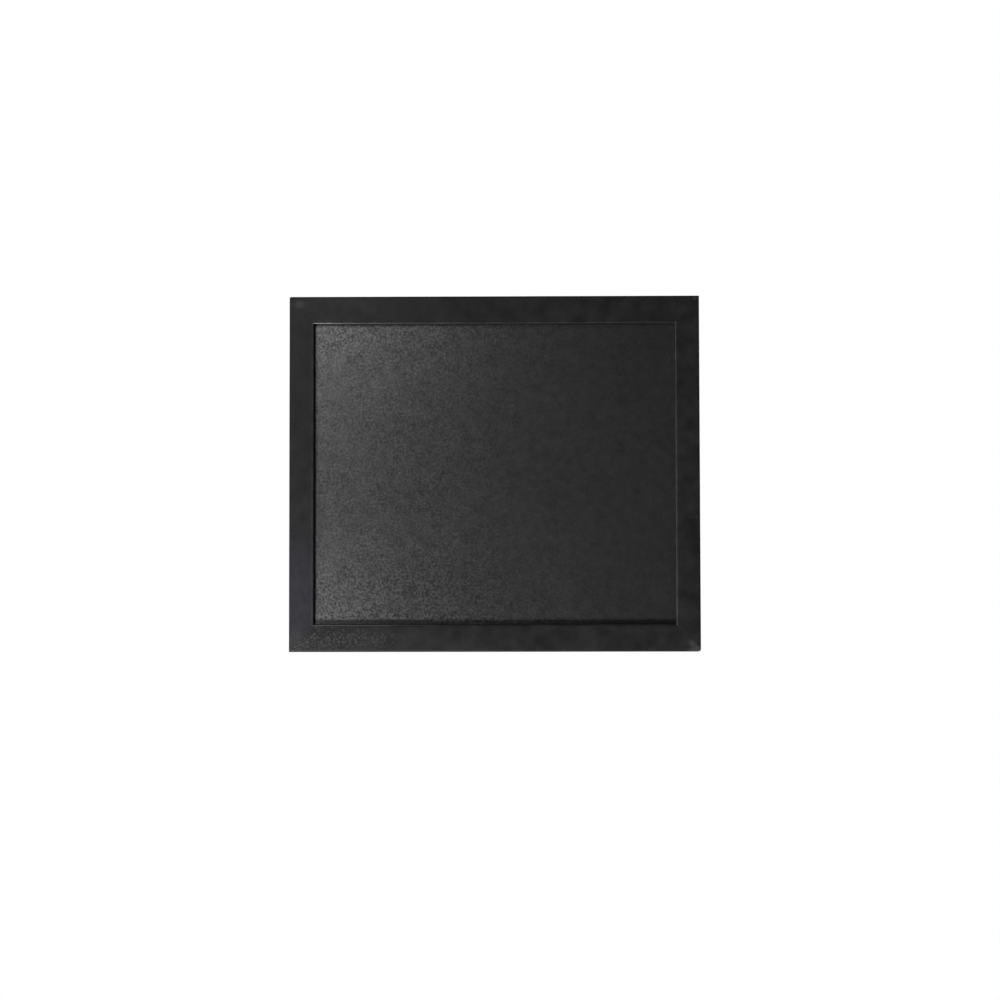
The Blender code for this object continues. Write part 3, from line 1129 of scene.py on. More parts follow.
@dataclass(frozen=True)
class Fibreboard(Finish):
    """Bare pressed fibre with a screen's print."""

    relief: float = 0.00012
    tones: Pair = (0.78, 1.2)
    tone_levels: Pair = (0.3, 0.7)
    fleck: Triple = (0.33, 0.21, 0.12)
    fleck_share: float = 0.55
    rough_levels: Pair = (0.2, 0.8)
    roughnesses: Pair = (0.86, 0.74)

    def material(self) -> bpy.types.Material:
        """Builds the material.

        Returns:
            The material.
        """
        material, graph, shader, place = self.start()
        fibre = EFFECTS.use(graph, Effect.PRESSED_FIBRE, Place=place).outputs
        tone = self.clouded(graph, graph.ramp(fibre["Tone"], *self.tone_levels), self.tones)
        tone = graph.blend(graph.times(fibre["Fleck"], self.fleck_share), tone, self.fleck)
        graph.feed(shader.inputs["Base Color"], tone)
        rough = graph.ramp(fibre["Tone"], *self.rough_levels, *self.roughnesses)
        graph.feed(shader.inputs["Roughness"], rough)
        self.raise_surface(graph, shader, fibre["Height"])
        return material


@dataclass(frozen=True)
class ZincPlate(Finish):
    """Bright zinc on rolled steel, clouded and lightly scuffed. Its roughness is the smoothest place's."""

    relief: float = 0.000012
    squeeze: Triple = (5200.0, 5200.0, 420.0)
    cloud_size: float = 0.0028
    cloud_contrast: float = 2.0
    cloud_tones: Pair = (0.5, 1.0)
    cloud_roughness: float = 0.14
    scuff_roughness: float = 0.12

    def material(self) -> bpy.types.Material:
        """Builds the material.

        Returns:
            The material.
        """
        material, graph, shader, place = self.start()
        stretched = graph.node("ShaderNodeMapping", Vector=place)
        stretched.inputs["Scale"].default_value = self.squeeze
        lines = EFFECTS.use(graph, Effect.DRAWN_LINES, Place=stretched.outputs[0]).outputs
        clouds = self.clouds(graph, place, self.cloud_size, self.cloud_contrast)
        graph.feed(shader.inputs["Base Color"], self.clouded(graph, clouds, self.cloud_tones))
        scuffed = graph.times(lines["Tone"], self.scuff_roughness)
        clouded = graph.times(clouds, self.cloud_roughness)
        graph.feed(shader.inputs["Roughness"], graph.plus(graph.plus(scuffed, clouded), self.roughness))
        self.raise_surface(graph, shader, lines["Height"])
        return material


@dataclass(frozen=True)
class Rubber(Finish):
    """Matt moulded rubber with a little dust."""

    relief: float = 0.00002
    pitch: float = 0.0003
    patchiness: float = 0.3
    cloud_size: float = 0.003
    cloud_contrast: float = 1.5
    dust_tones: Pair = (1.0, 1.35)
    dust_levels: Pair = (0.4, 0.8)
    rough_levels: Pair = (0.2, 0.8)
    roughnesses: Pair = (0.62, 0.78)

    def material(self) -> bpy.types.Material:
        """Builds the material.

        Returns:
            The material.
        """
        material, graph, shader, place = self.start()
        pebbles = self.pebbles(graph, place, self.pitch, self.patchiness).outputs
        clouds = self.clouds(graph, place, self.cloud_size, self.cloud_contrast)
        dust = graph.ramp(clouds, *self.dust_levels)
        graph.feed(shader.inputs["Base Color"], self.clouded(graph, dust, self.dust_tones))
        rough = graph.ramp(clouds, *self.rough_levels, *self.roughnesses)
        graph.feed(shader.inputs["Roughness"], rough)
        self.raise_surface(graph, shader, pebbles["Height"])
        return material


# Frame


class Side(Enum):
    """The four members of the frame."""

    TOP = "top_rail"
    BOTTOM = "bottom_rail"
    LEFT = "left_stile"
    RIGHT = "right_stile"

    @property
    def is_rail(self) -> bool:
        """Whether the member runs along X."""
        return self in (Side.TOP, Side.BOTTOM)


# Meshes that cut pockets and holes, by the member that they cut
Cutters = dict[Side, list[bpy.types.Mesh]]


@dataclass(frozen=True)
class Moulding:
    """The frame's cross-section, as pairs of the distance in from the outer edge and Y."""

    front_round: float = 0.0012
    sight_width: float = 0.0016
    sight_depth: float = 0.00045
    lip_round: float = 0.0003
    back_round: float = 0.0006
    crown: float = 0.00010
    round_steps: int = 10
    face_steps: int = 18
    side_steps: int = 8
    lip_steps: int = 5
    seat_steps: int = 4
    back_steps: int = 10
    small_steps: int = 3
    back_round_steps: int = 4

    def loop(self) -> Array:
        """Closed loop: side, front arris, crowned face, sight arris, lip, rabbet and back.

        The face is the front plane plus the crown times the square of the distance from its middle.

        Returns:
            Pairs for a rail. A stile's are narrower.
        """
        face, front, lip_back, band = SIZES.rail_face, SIZES.front, SIZES.lip_back, SIZES.back_band
        arris = (self.front_round, front + self.front_round + self.crown)
        sight = np.array((face - self.sight_width, front + self.sight_depth + self.crown))
        eased = sight + (self.sight_width, self.sight_depth) * arc_points(
            (0.0, 0.0), 1.0, -QUARTER_TURN, 0.0, self.round_steps
        )
        start, end = self.front_round, face - self.sight_width
        shares = np.linspace(-1.0, 1.0, self.face_steps + 1)
        inward = (start + end) / 2 + shares * (end - start) / 2
        crowned = np.stack((inward, front + self.crown * shares**2), axis=1)
        small, back = self.lip_round, self.back_round
        return joined(
            line_points((0.0, -back), (0.0, arris[1]), self.side_steps),
            arc_points(arris, self.front_round, math.pi, 3 * QUARTER_TURN, self.round_steps),
            crowned,
            eased,
            line_points((face, sight[1]), (face, lip_back - small), self.lip_steps),
            arc_points((face - small, lip_back - small), small, 0.0, QUARTER_TURN, self.small_steps),
            line_points((face - small, lip_back), (band, lip_back), self.seat_steps),
            line_points((band, lip_back), (band, -small), self.side_steps),
            arc_points((band - small, -small), small, 0.0, QUARTER_TURN, self.small_steps),
            line_points((band - small, 0.0), (back, 0.0), self.back_steps),
            arc_points((back, -back), back, QUARTER_TURN, math.pi, self.back_round_steps),
        )


@dataclass
class MitredFrame:
    """Two rails and two stiles of one moulding, mitred, eased and lacquered."""

    moulding: Moulding = field(default_factory=Moulding)
    unevenness: Waviness = field(default_factory=lambda: Waviness(0.009, 0.07, seed=4))
    uneven_depth: float = 0.00007
    mitre_gap: float = 0.00001
    mitre_ease_width: float = 0.00028
    mitre_ease_depth: float = 0.00002
    top_corners: Pair = (0.0016, 0.0007)
    bottom_corners: Pair = (0.0007, 0.0022)
    top_fade: float = 0.7
    top_fade_places: Pair = (0.0, 0.09)
    bottom_rub: float = 1.4
    rub_inset: Pair = (-0.0001, 0.0003)
    rub_depth: Pair = (0.0005, 0.0011)
    black: Triple = (0.0112, 0.0112, 0.0112)
    wear_near: float = 0.00055
    wear_far: float = 0.0013
    end_rows: tuple[float, ...] = (
        0.0, 0.00009, 0.00018, 0.00028, 0.0004, 0.00055, 0.0007, 0.00085, 0.001, 0.0012,
        0.0014, 0.0017, 0.0021, 0.0028, 0.004, 0.006, 0.009,
    )
    middle_steps: int = 56

    def build(self, cutters: Cutters) -> None:
        """Makes the four members.

        Args:
            cutters: The pockets of each member.
        """
        across = Lacquer("black_lacquer_across", self.black, roughness=0.42, specular=0.14)
        upright = replace(
            across,
            name="black_lacquer_upright",
            grain=Grain.UPRIGHT,
            burnish=0.65,
            burnish_roughness=0.36,
            polish=0.0,
        )
        rails, stiles = across.material(), upright.material()
        for side in Side:
            lacquer = rails if side.is_rail else stiles
            piece = Piece(side.value, "black_lacquer").add(self.member(side), lacquer)
            cut_pockets(piece, cutters[side])
            points = mesh_points(piece.data)
            section = self.section(side, points)
            store_values(piece.data, EDGE_ATTRIBUTE, self.wear(section))
            store_values(piece.data, SIGHT_ATTRIBUTE, self.burnish(side, points, section))

    def member(self, side: Side) -> bpy.types.Mesh:
        """One member: the moulding's loop carried along it.

        Each row lies a given way in from the mitre plane, which leans by the stile's width over the
        rail's. The surface sinks by the unevenness, and by a square of the nearness to the mitre.

        Args:
            side: Which member.

        Returns:
            Its mesh in the board's frame.
        """
        loop, inward = self.moulding.loop(), inward_normals(self.moulding.loop())
        across, slant = (1.0, SIZES.across) if side.is_rail else (SIZES.across, 1.0)
        half = (SIZES.width if side.is_rail else SIZES.height) / 2
        lean = math.hypot(across, slant) / across
        reach = half - loop[:, 0] * slant - self.mitre_gap * lean
        ends = reach - np.array(self.end_rows)[:, None]
        shares = np.linspace(-1.0, 1.0, self.middle_steps + 1)[1:-1, None]
        along = np.concatenate((-ends, shares * ends[-1], ends[::-1]))
        off_mitre = (reach - np.abs(along)) / lean
        ease = np.clip(1.0 - off_mitre / self.mitre_ease_width, 0.0, 1.0) ** 2
        flat = self.to_board(side, along, loop[:, 0] + 0.0 * along, loop[:, 1] + 0.0 * along)
        sink = self.uneven_depth * self.unevenness.at(flat) + self.mitre_ease_depth * ease
        inset, depth = loop[:, 0] + sink * inward[:, 0], loop[:, 1] + sink * inward[:, 1]
        return lofted(side.value, self.round_corners(self.to_board(side, along, inset, depth)))

    @staticmethod
    def to_board(side: Side, along: Array, inset: Array, depth: Array) -> Array:
        """Places points of a member.

        Args:
            side: Which member.
            along: Distance along it from its middle.
            inset: Distance in from its outer edge, as on a rail.
            depth: Y.

        Returns:
            Points in the board's frame.
        """
        if side is Side.TOP:
            return np.stack((along, depth, SIZES.top - inset), axis=-1)
        if side is Side.BOTTOM:
            return np.stack((along, depth, SIZES.bottom + inset), axis=-1)
        sign = -1.0 if side is Side.LEFT else 1.0
        x = sign * (SIZES.width / 2 - inset * SIZES.across)
        return np.stack((x, depth, SIZES.middle + along), axis=-1)

    def round_corners(self, points: Array) -> Array:
        """Rounds the frame's outer corners.

        A point that is farther from a corner's centre than the corner's radius, on the corner's
        side of it, moves towards that centre until it is a radius away. Each corner has its own
        wear, so its own radius.

        Args:
            points: Points in the board's frame.

        Returns:
            The moved points.
        """
        x, z = points[..., 0], points[..., 2]
        upper = z > SIZES.middle
        left = x < 0.0
        radius = np.where(upper, np.where(left, *self.top_corners), np.where(left, *self.bottom_corners))
        centre_x = SIZES.width / 2 - radius
        centre_z = np.where(upper, SIZES.top - radius, SIZES.bottom + radius)
        over_x = np.clip(np.abs(x) - centre_x, 0.0, None)
        over_z = np.clip(np.where(upper, z - centre_z, centre_z - z), 0.0, None)
        away = np.hypot(over_x, over_z)
        pull = radius / np.maximum(away, radius)
        outside = away > radius
        new_x = np.where(outside, np.sign(x) * (centre_x + over_x * pull), x)
        new_z = np.where(outside, centre_z + np.where(upper, 1.0, -1.0) * over_z * pull, z)
        return np.stack((new_x, points[..., 1], new_z), axis=-1)

    @staticmethod
    def section(side: Side, points: Array) -> Array:
        """Where points lie in a member's cross-section.

        Args:
            side: Which member.
            points: Points in the board's frame.

        Returns:
            Distance in from the outer edge, as on a rail, and Y of each point.
        """
        inset = {
            Side.TOP: SIZES.top - points[:, 2],
            Side.BOTTOM: points[:, 2] - SIZES.bottom,
            Side.LEFT: (points[:, 0] + SIZES.width / 2) / SIZES.across,
            Side.RIGHT: (SIZES.width / 2 - points[:, 0]) / SIZES.across,
        }[side]
        return np.stack((inset, points[:, 1]), axis=1)

    def wear(self, section: Array) -> Array:
        """Nearness to the member's long edges: 1 up to a near distance, 0 from a far one.

        Args:
            section: Places in the cross-section.

        Returns:
            One value for each place.
        """
        front = SIZES.front
        edges = np.array([(0.0, front), (SIZES.rail_face, front), (0.0, 0.0), (SIZES.back_band, 0.0)])
        nearest = np.linalg.norm(section[:, None, :] - edges, axis=2).min(axis=1)
        return smooth_step(-nearest, -self.wear_far, -self.wear_near)

    def burnish(self, side: Side, points: Array, section: Array) -> Array:
        """How strongly the sight edge's round is rubbed: 0 on the flat face and on the lip's side.

        The bottom rail's is rubbed most, and the top rail's rub fades towards the right.

        Args:
            side: Which member.
            points: Points in the board's frame.
            section: Their places in the cross-section.

        Returns:
            One value for each place.
        """
        start = SIZES.rail_face - self.moulding.sight_width
        across = smooth_step(section[:, 0], *(start + inset for inset in self.rub_inset))
        deep = smooth_step(section[:, 1], *(SIZES.front + depth for depth in self.rub_depth))
        rub = {
            Side.TOP: 1.0 - self.top_fade * smooth_step(points[:, 0], *self.top_fade_places),
            Side.BOTTOM: self.bottom_rub,
            Side.LEFT: 1.0,
            Side.RIGHT: 1.0,
        }[side]
        return rub * across * (1.0 - deep)


# Writing panel


@dataclass(frozen=True)
class Sheet:
    """A flat sheet in the panel, gently uneven on the face that shows."""

    width: float
    height: float
    front: float
    back: float
    spacing: float
    uneven: Waviness
    uneven_depth: float
    shows_back: bool
    ease: float = 0.0003
    ease_steps: int = 4
    hidden_steps: int = 6

    def mesh(self, name: str) -> bpy.types.Mesh:
        """Closed slab: a loop up the front and down the back, carried along X.

        On the face that shows, Y sinks by the unevenness and, near the border, by the square of the
        nearness to it.

        Args:
            name: Name of the mesh.

        Returns:
            The mesh.
        """
        steps = round(self.height / self.spacing)
        half = self.height / 2
        fine, coarse = np.linspace(-half, half, steps + 1), np.linspace(half, -half, self.hidden_steps + 1)
        shown, hidden = (self.back, self.front) if self.shows_back else (self.front, self.back)
        z = np.concatenate((fine, coarse))
        y = np.concatenate((np.full(len(fine), shown), np.full(len(coarse), hidden)))
        seen = np.concatenate((np.ones(len(fine)), np.zeros(len(coarse))))
        x = np.linspace(-self.width / 2, self.width / 2, round(self.width / self.spacing) + 1)
        grid = np.stack(np.broadcast_arrays(x[:, None], y[None, :], z[None, :] + SIZES.middle), axis=2)
        border = np.minimum(self.width / 2 - np.abs(x)[:, None], half - np.abs(z)[None, :])
        eased = self.ease * np.clip(1.0 - border / (self.ease_steps * self.spacing), 0.0, 1.0) ** 2
        sink = seen * (self.uneven_depth * self.uneven.at(grid) + eased)
        grid[..., 1] += math.copysign(1.0, hidden - shown) * sink
        return lofted(name, grid)


@dataclass(frozen=True)
class WritingPanel:
    """The writing sheet and the fibreboard behind it, each between its front and back planes."""

    width: float = 0.24801
    height: float = 0.2090
    laminate_planes: Pair = (-0.0077, -0.0071)
    laminate_black: Triple = (0.0078, 0.0078, 0.0078)
    core_planes: Pair = (-0.0068, -0.0038)
    core_brown: Triple = (0.17, 0.095, 0.048)

    def build(self) -> None:
        """Makes both layers."""
        laminate = Sheet(
            self.width,
            self.height,
            *self.laminate_planes,
            spacing=0.0012,
            uneven=Waviness(0.007, 0.08, seed=11),
            uneven_depth=0.00009,
            shows_back=False,
            ease=0.0001,
        )
        black = Laminate("textured_black_laminate", self.laminate_black, roughness=0.298, specular=0.42)
        piece = Piece("writing_laminate", "textured_black_laminate")
        piece.add(laminate.mesh("writing_laminate"), black.material())
        core = Sheet(
            self.width,
            self.height,
            *self.core_planes,
            spacing=0.004,
            uneven=Waviness(0.03, 0.2, seed=23),
            uneven_depth=0.00012,
            shows_back=True,
            ease=0.0002,
        )
        brown = Fibreboard("brown_fibreboard", self.core_brown, roughness=0.8, specular=0.3)
        Piece("panel_core", "brown_fibreboard").add(core.mesh("panel_core"), brown.material())


# Fasteners


class Corner(Enum):
    """The frame's corners, as which way each lies along X and Z."""

    TOP_LEFT = (-1, 1)
    TOP_RIGHT = (1, 1)
    BOTTOM_LEFT = (-1, -1)
    BOTTOM_RIGHT = (1, -1)

    @property
    def members(self) -> tuple[Side, Side]:
        """The rail and the stile that meet there."""
        across, up = self.value
        return (Side.TOP if up > 0 else Side.BOTTOM, Side.LEFT if across < 0 else Side.RIGHT)


@dataclass(frozen=True)
class VNail:
    """V-shaped nail driven across a mitre from behind."""

    wing: float = 0.0035
    thickness: float = 0.0005
    height: float = 0.0070
    sink: float = 0.0003
    half_angle: float = math.radians(45)
    edge: float = 0.00008
    clearance: float = 0.00006
    shares: Pair = (0.45, 0.79)

    def outline(self, grow: float) -> Array:
        """Plan with its point at the origin and wings towards +X, grown on every side.

        Each wing is a strip of the nail's thickness whose outer side leaves the point at the half
        angle; the inner sides meet a thickness over the sine behind it.

        Args:
            grow: Distance that each side moves outward.

        Returns:
            Closed loop of X and Z.
        """
        sine, cosine = math.sin(self.half_angle), math.cos(self.half_angle)
        point = -grow / sine
        reach = self.wing + grow + grow * cosine / sine
        wide = self.thickness + 2 * grow
        outer = (point + reach * cosine, reach * sine)
        inner = (outer[0] + wide * sine, outer[1] - wide * cosine)
        upper = [(point, 0.0), outer, inner, (point + wide / sine, 0.0)]
        lower = [(inner[0], -inner[1]), (outer[0], -outer[1])]
        return np.array(upper + lower)

    def build(self, corner: Corner, steel: bpy.types.Material, cutters: Cutters) -> None:
        """Makes a corner's two nails and their pockets.

        Args:
            corner: Which corner.
            steel: Finish of the nails.
            cutters: Lists that the pockets are added to.
        """
        across, up = corner.value
        turn = math.atan2(-up * SIZES.rail_face, across * SIZES.stile_face)
        front = -self.sink - self.height
        for number, share in enumerate(self.shares, 1):
            x = across * (SIZES.width / 2 - share * SIZES.back_band * SIZES.across)
            z = SIZES.middle + up * (SIZES.height / 2 - share * SIZES.back_band)
            node = f"v_nail_{corner.name.lower()}_{number}"
            mesh = stamped(node, self.outline(0.0), front, self.height, self.edge)
            Piece(node, "zinc_plated_steel").add(placed(mesh, turn, (x, 0.0, z)), steel)
            for member in corner.members:
                depth = self.height + self.sink + self.clearance + CUT_OVERRUN
                outline = self.outline(self.clearance)
                pocket = stamped("pocket", outline, front - self.clearance, depth, self.edge / 2)
                cutters[member].append(placed(pocket, turn, (x, 0.0, z)))


@dataclass(frozen=True)
class FramingPoint:
    """Flat steel tab driven into the rabbet's wall behind the panel."""

    width: float = 0.006
    thickness: float = 0.0005
    front: float = -0.0035
    driven: float = 0.006
    reach: float = 0.0085
    tip: float = 0.003
    corner: float = 0.0012
    edge: float = 0.00009
    clearance: float = 0.00005
    rail_places: tuple[float, ...] = (-0.085, 0.0, 0.085)
    stile_places: tuple[float, ...] = (0.045, -0.045)

    def outline(self) -> Array:
        """Plan: a tip towards +Z, straight sides, and a tab towards -Z with cut corners."""
        half, corner = self.width / 2, self.corner
        right = [(half, self.driven - self.tip), (half, corner - self.reach), (half - corner, -self.reach)]
        left = [(-x, z) for x, z in reversed(right)]
        return np.array([(0.0, self.driven)] + right + left)

    def places(self) -> list[tuple[str, Side, float, float, float]]:
        """Node, member, X, Z and turn of every point."""
        rows = []
        for name, side, wall, turn in (
            ("top", Side.TOP, SIZES.top - SIZES.back_band, 0.0),
            ("bottom", Side.BOTTOM, SIZES.bottom + SIZES.back_band, math.pi),
        ):
            rows += [(f"{name}_{n}", side, x, wall, turn) for n, x in enumerate(self.rail_places, 1)]
        wall = SIZES.width / 2 - SIZES.back_band * SIZES.across
        for name, side, sign in (("left", Side.LEFT, -1), ("right", Side.RIGHT, 1)):
            for number, rise in enumerate(self.stile_places, 1):
                place = (f"{name}_{number}", side, sign * wall, SIZES.middle + rise, sign * QUARTER_TURN)
                rows.append(place)
        return rows

    def build(self, steel: bpy.types.Material, cutters: Cutters) -> None:
        """Makes every point and its slot.

        Args:
            steel: Finish of the points.
            cutters: Lists that the slots are added to.
        """
        half, clear = self.width / 2 + self.clearance, self.clearance
        low, high = -CUT_OVERRUN, self.driven + clear
        slot = np.array([(-half, low), (half, low), (half, high), (-half, high)])
        for name, side, x, z, turn in self.places():
            node = f"framing_point_{name}"
            mesh = stamped(node, self.outline(), self.front, self.thickness, self.edge)
            Piece(node, "zinc_plated_steel").add(placed(mesh, turn, (x, 0.0, z)), steel)
            cutter = stamped("slot", slot, self.front - clear, self.thickness + 2 * clear, clear)
            cutters[side].append(placed(cutter, turn, (x, 0.0, z)))


# Hangers


class Hand(Enum):
    """The two hangers and bumpers, as which way each lies along X."""

    LEFT = -1
    RIGHT = 1

    @property
    def label(self) -> str:
        """Start of the names on this hand."""
        return self.name.lower()

    @property
    def stile(self) -> Side:
        """The stile on this hand."""
        return Side.LEFT if self is Hand.LEFT else Side.RIGHT


@dataclass(frozen=True)
class Hanger:
    """Strap with a rolled knuckle, the D ring that swings in it, and its screw."""

    x: float = 0.129205
    knuckle_y: float = 0.0023
    knuckle_z: float = -0.0088
    knuckle_middle: float = 0.0016
    knuckle_sweep: float = math.radians(290)
    strap_width: float = 0.0076
    strap_thickness: float = 0.0008
    strap_drop: float = 0.0200
    strap_foot: float = 0.0032
    strap_edge: float = 0.00016
    wire: float = 0.0009
    ring_half: float = 0.0056
    ring_corner: float = 0.0016
    ring_side: float = 0.0025
    screw_z: float = -0.0238
    head_seat: float = 0.0014
    head_radius: float = 0.003
    head_height: float = 0.0018
    crown_share: float = 0.924
    screw_length: float = 0.009
    root: float = 0.001
    thread: float = 0.0014
    pitch: float = 0.00135
    point: float = 0.002
    point_radius: float = 0.0003
    recess_arm: float = 0.0017
    recess_width: float = 0.0007
    recess_depth: float = 0.001
    screw_turn: float = math.radians(24)
    under_share: float = 0.96
    rim_lift: float = 0.00006
    crown_centre: float = 0.00004
    recess_soft: float = 0.00007
    recess_slope: float = 0.4
    recess_floor: Pair = (0.6, 0.7)
    hole_clearance: float = 0.0001
    foot_steps: int = 14
    plate_steps: int = 17
    knuckle_steps: int = 48
    edge_steps: int = 4
    wire_steps: int = 24
    bar_steps: int = 10
    corner_steps: int = 10
    side_steps: int = 6
    bow_steps: int = 48
    hole_steps: int = 48
    screw_steps: int = 120
    rows_per_pitch: int = 12
    under_steps: int = 4
    climb_steps: int = 12
    crown_steps: int = 43

    def build(self, hand: Hand, steel: bpy.types.Material, cutters: Cutters) -> None:
        """Makes one hanger's three pieces.

        Args:
            hand: Which side of the board.
            steel: Finish of all three.
            cutters: Lists that the screw's hole is added to.
        """
        knuckle = (hand.value * self.x, self.knuckle_y, self.knuckle_z)
        seat = (hand.value * self.x, self.head_seat, self.screw_z)
        slot = "zinc_plated_steel"
        strap = placed(self.strap_mesh(), 0.0, knuckle)
        piece = Piece(f"{hand.label}_hanger_strap", slot).add(strap, steel)
        cut_pockets(piece, [self.hole_mesh(hand)])
        cutters[hand.stile].append(self.hole_mesh(hand))
        ring = placed(self.ring_mesh(), 0.0, knuckle)
        Piece(f"{hand.label}_hanger_ring", slot, f"{hand.label}_ring").add(ring, steel)
        turn = self.screw_turn * hand.value
        Piece(f"{hand.label}_hanger_screw", slot).add(placed(self.screw_mesh(), turn, seat), steel)

    def hole_mesh(self, hand: Hand) -> bpy.types.Mesh:
        """Cutter for the screw's hole, through the strap and into the stile."""
        radius = self.thread + self.hole_clearance
        low, high = self.head_seat - self.screw_length, self.head_seat + CUT_OVERRUN
        mesh = lofted("hole", turned_grid(np.array([(radius, low), (radius, high)]), self.hole_steps))
        return placed(mesh, 0.0, (hand.value * self.x, 0.0, self.screw_z))

    def strap_mesh(self) -> bpy.types.Mesh:
        """Strap round the knuckle's axis, its foot towards -Z.

        A rounded rectangle is carried up the plate and round the knuckle. Its half width is that of
        the foot's flat end plus the foot's quarter circle, up to the strap's own.

        Returns:
            The mesh, with the knuckle's axis on the origin.
        """
        radius, flat = self.knuckle_middle, self.strap_width / 2 - self.strap_foot
        turns = np.linspace(0.0, QUARTER_TURN, self.foot_steps + 1)
        foot = -self.strap_drop + self.strap_foot * (1.0 - np.cos(turns))
        rises = np.concatenate((foot, np.linspace(foot[-1], 0.0, self.plate_steps + 1)[1:]))
        angles = np.linspace(math.pi, math.pi - self.knuckle_sweep, self.knuckle_steps + 1)[1:]
        centre_y = np.concatenate((np.full(len(rises), -radius), radius * np.cos(angles)))
        centre_z = np.concatenate((rises, radius * np.sin(angles)))
        out_y = np.concatenate((np.full(len(rises), -1.0), np.cos(angles)))
        out_z = np.concatenate((np.zeros(len(rises)), np.sin(angles)))
        from_foot = np.clip(centre_z + self.strap_drop, 0.0, self.strap_foot)
        from_foot[len(rises):] = self.strap_foot
        half = flat + np.sqrt(self.strap_foot**2 - (self.strap_foot - from_foot) ** 2)
        edge, thick = self.strap_edge, self.strap_thickness / 2
        quarters, points = QUARTER_TURN * np.arange(4), self.edge_steps + 1
        turn = np.linspace(quarters, quarters + QUARTER_TURN, points, axis=1).ravel()
        sign_x = np.repeat((1.0, -1.0, -1.0, 1.0), points)
        sign_n = np.repeat((1.0, 1.0, -1.0, -1.0), points)
        x = sign_x * (half[:, None] - edge) + edge * np.cos(turn)
        out = sign_n * (thick - edge) + edge * np.sin(turn)
        y = centre_y[:, None] + out * out_y[:, None]
        z = centre_z[:, None] + out * out_z[:, None]
        return lofted("hanger_strap", np.stack((x, y, z), axis=2))

    def ring_mesh(self) -> bpy.types.Mesh:
        """D ring of round wire: a circle of the wire's radius carried round the closed D.

        Returns:
            The mesh, with the straight bar along X on the origin and the bow towards -Z.
        """
        half, corner = self.ring_half, self.ring_corner
        side = -(corner + self.ring_side)
        path = joined(
            line_points((corner - half, 0.0), (half - corner, 0.0), self.bar_steps),
            arc_points((half - corner, -corner), corner, QUARTER_TURN, 0.0, self.corner_steps),
            line_points((half, -corner), (half, side), self.side_steps),
            arc_points((0.0, side), half, 0.0, -math.pi, self.bow_steps),
            line_points((-half, side), (-half, -corner), self.side_steps),
            arc_points((corner - half, -corner), corner, math.pi, QUARTER_TURN, self.corner_steps),
        )
        inward = inward_normals(path)
        turns = np.arange(self.wire_steps) * math.tau / self.wire_steps
        x = path[:, 0][:, None] + self.wire * np.cos(turns) * inward[:, 0][:, None]
        z = path[:, 1][:, None] + self.wire * np.cos(turns) * inward[:, 1][:, None]
        y = np.broadcast_to(self.wire * np.sin(turns), x.shape)
        faces = grid_faces(len(path), self.wire_steps, around=True, along=True).tolist()
        return body_mesh("hanger_ring", np.stack((x, y, z), axis=2).reshape(-1, 3), faces)

    def screw_mesh(self) -> bpy.types.Mesh:
        """Pan-head wood screw with a cross recess.

        The thread's radius is the core's plus a ridge that climbs one pitch a turn. The head is an
        ellipse cut off at its crown, less the recess, whose depth is full where both the smaller and
        the larger of X and Z lie within the cross.

        Returns:
            The mesh, its head's underside on y = 0 and its point towards -Y.
        """
        turns = np.arange(self.screw_steps) * math.tau / self.screw_steps
        rows = round(self.screw_length / self.pitch * self.rows_per_pitch)
        depth = np.linspace(self.screw_length, 0.0, rows + 1)[:, None]
        phase = (depth / self.pitch + turns / math.tau) % 1.0
        crest = 1.0 - np.abs(2.0 * phase - 1.0)
        taper = np.clip((self.screw_length - depth) / self.point, 0.0, 1.0)
        rise = np.minimum(taper, depth / self.pitch).clip(0.0, 1.0)
        core = self.point_radius + (self.root - self.point_radius) * taper
        shank = core + (self.thread - self.root) * crest * rise
        climb = arc_points((0.0, 0.0), 1.0, 0.0, math.asin(self.crown_share), self.climb_steps)
        under = np.linspace(self.root, self.head_radius * self.under_share, self.under_steps + 1)[1:]
        side = self.head_radius * climb[:, 0]
        crown = np.linspace(side[-1], self.crown_centre, self.crown_steps + 1)[1:]
        crown_height = np.full(len(crown), self.head_height * self.crown_share)
        side_height = self.rim_lift + self.head_height * climb[:, 1]
        rim = np.concatenate((under, side, crown))[:, None]
        lift = np.concatenate((np.zeros(len(under)), side_height, crown_height))[:, None]
        head = (len(rim), len(turns))
        radius = np.concatenate((shank, np.broadcast_to(rim, head)))
        height = np.concatenate((np.broadcast_to(-depth, shank.shape), np.broadcast_to(lift, head)))
        x, z = radius * np.cos(turns), radius * np.sin(turns)
        small, large = np.minimum(np.abs(x), np.abs(z)), np.maximum(np.abs(x), np.abs(z))
        half, arm, soft = self.recess_width / 2, self.recess_arm, self.recess_soft
        cross = smooth_step(-small, -half - soft, -half + soft)
        cross = cross * smooth_step(-large, -arm - soft, -arm + soft)
        top = smooth_step(height, *(self.head_height * share for share in self.recess_floor))
        height = height - cross * top * self.recess_depth * (1.0 - self.recess_slope * large / arm)
        return lofted("hanger_screw", np.stack((x, height, z), axis=2))


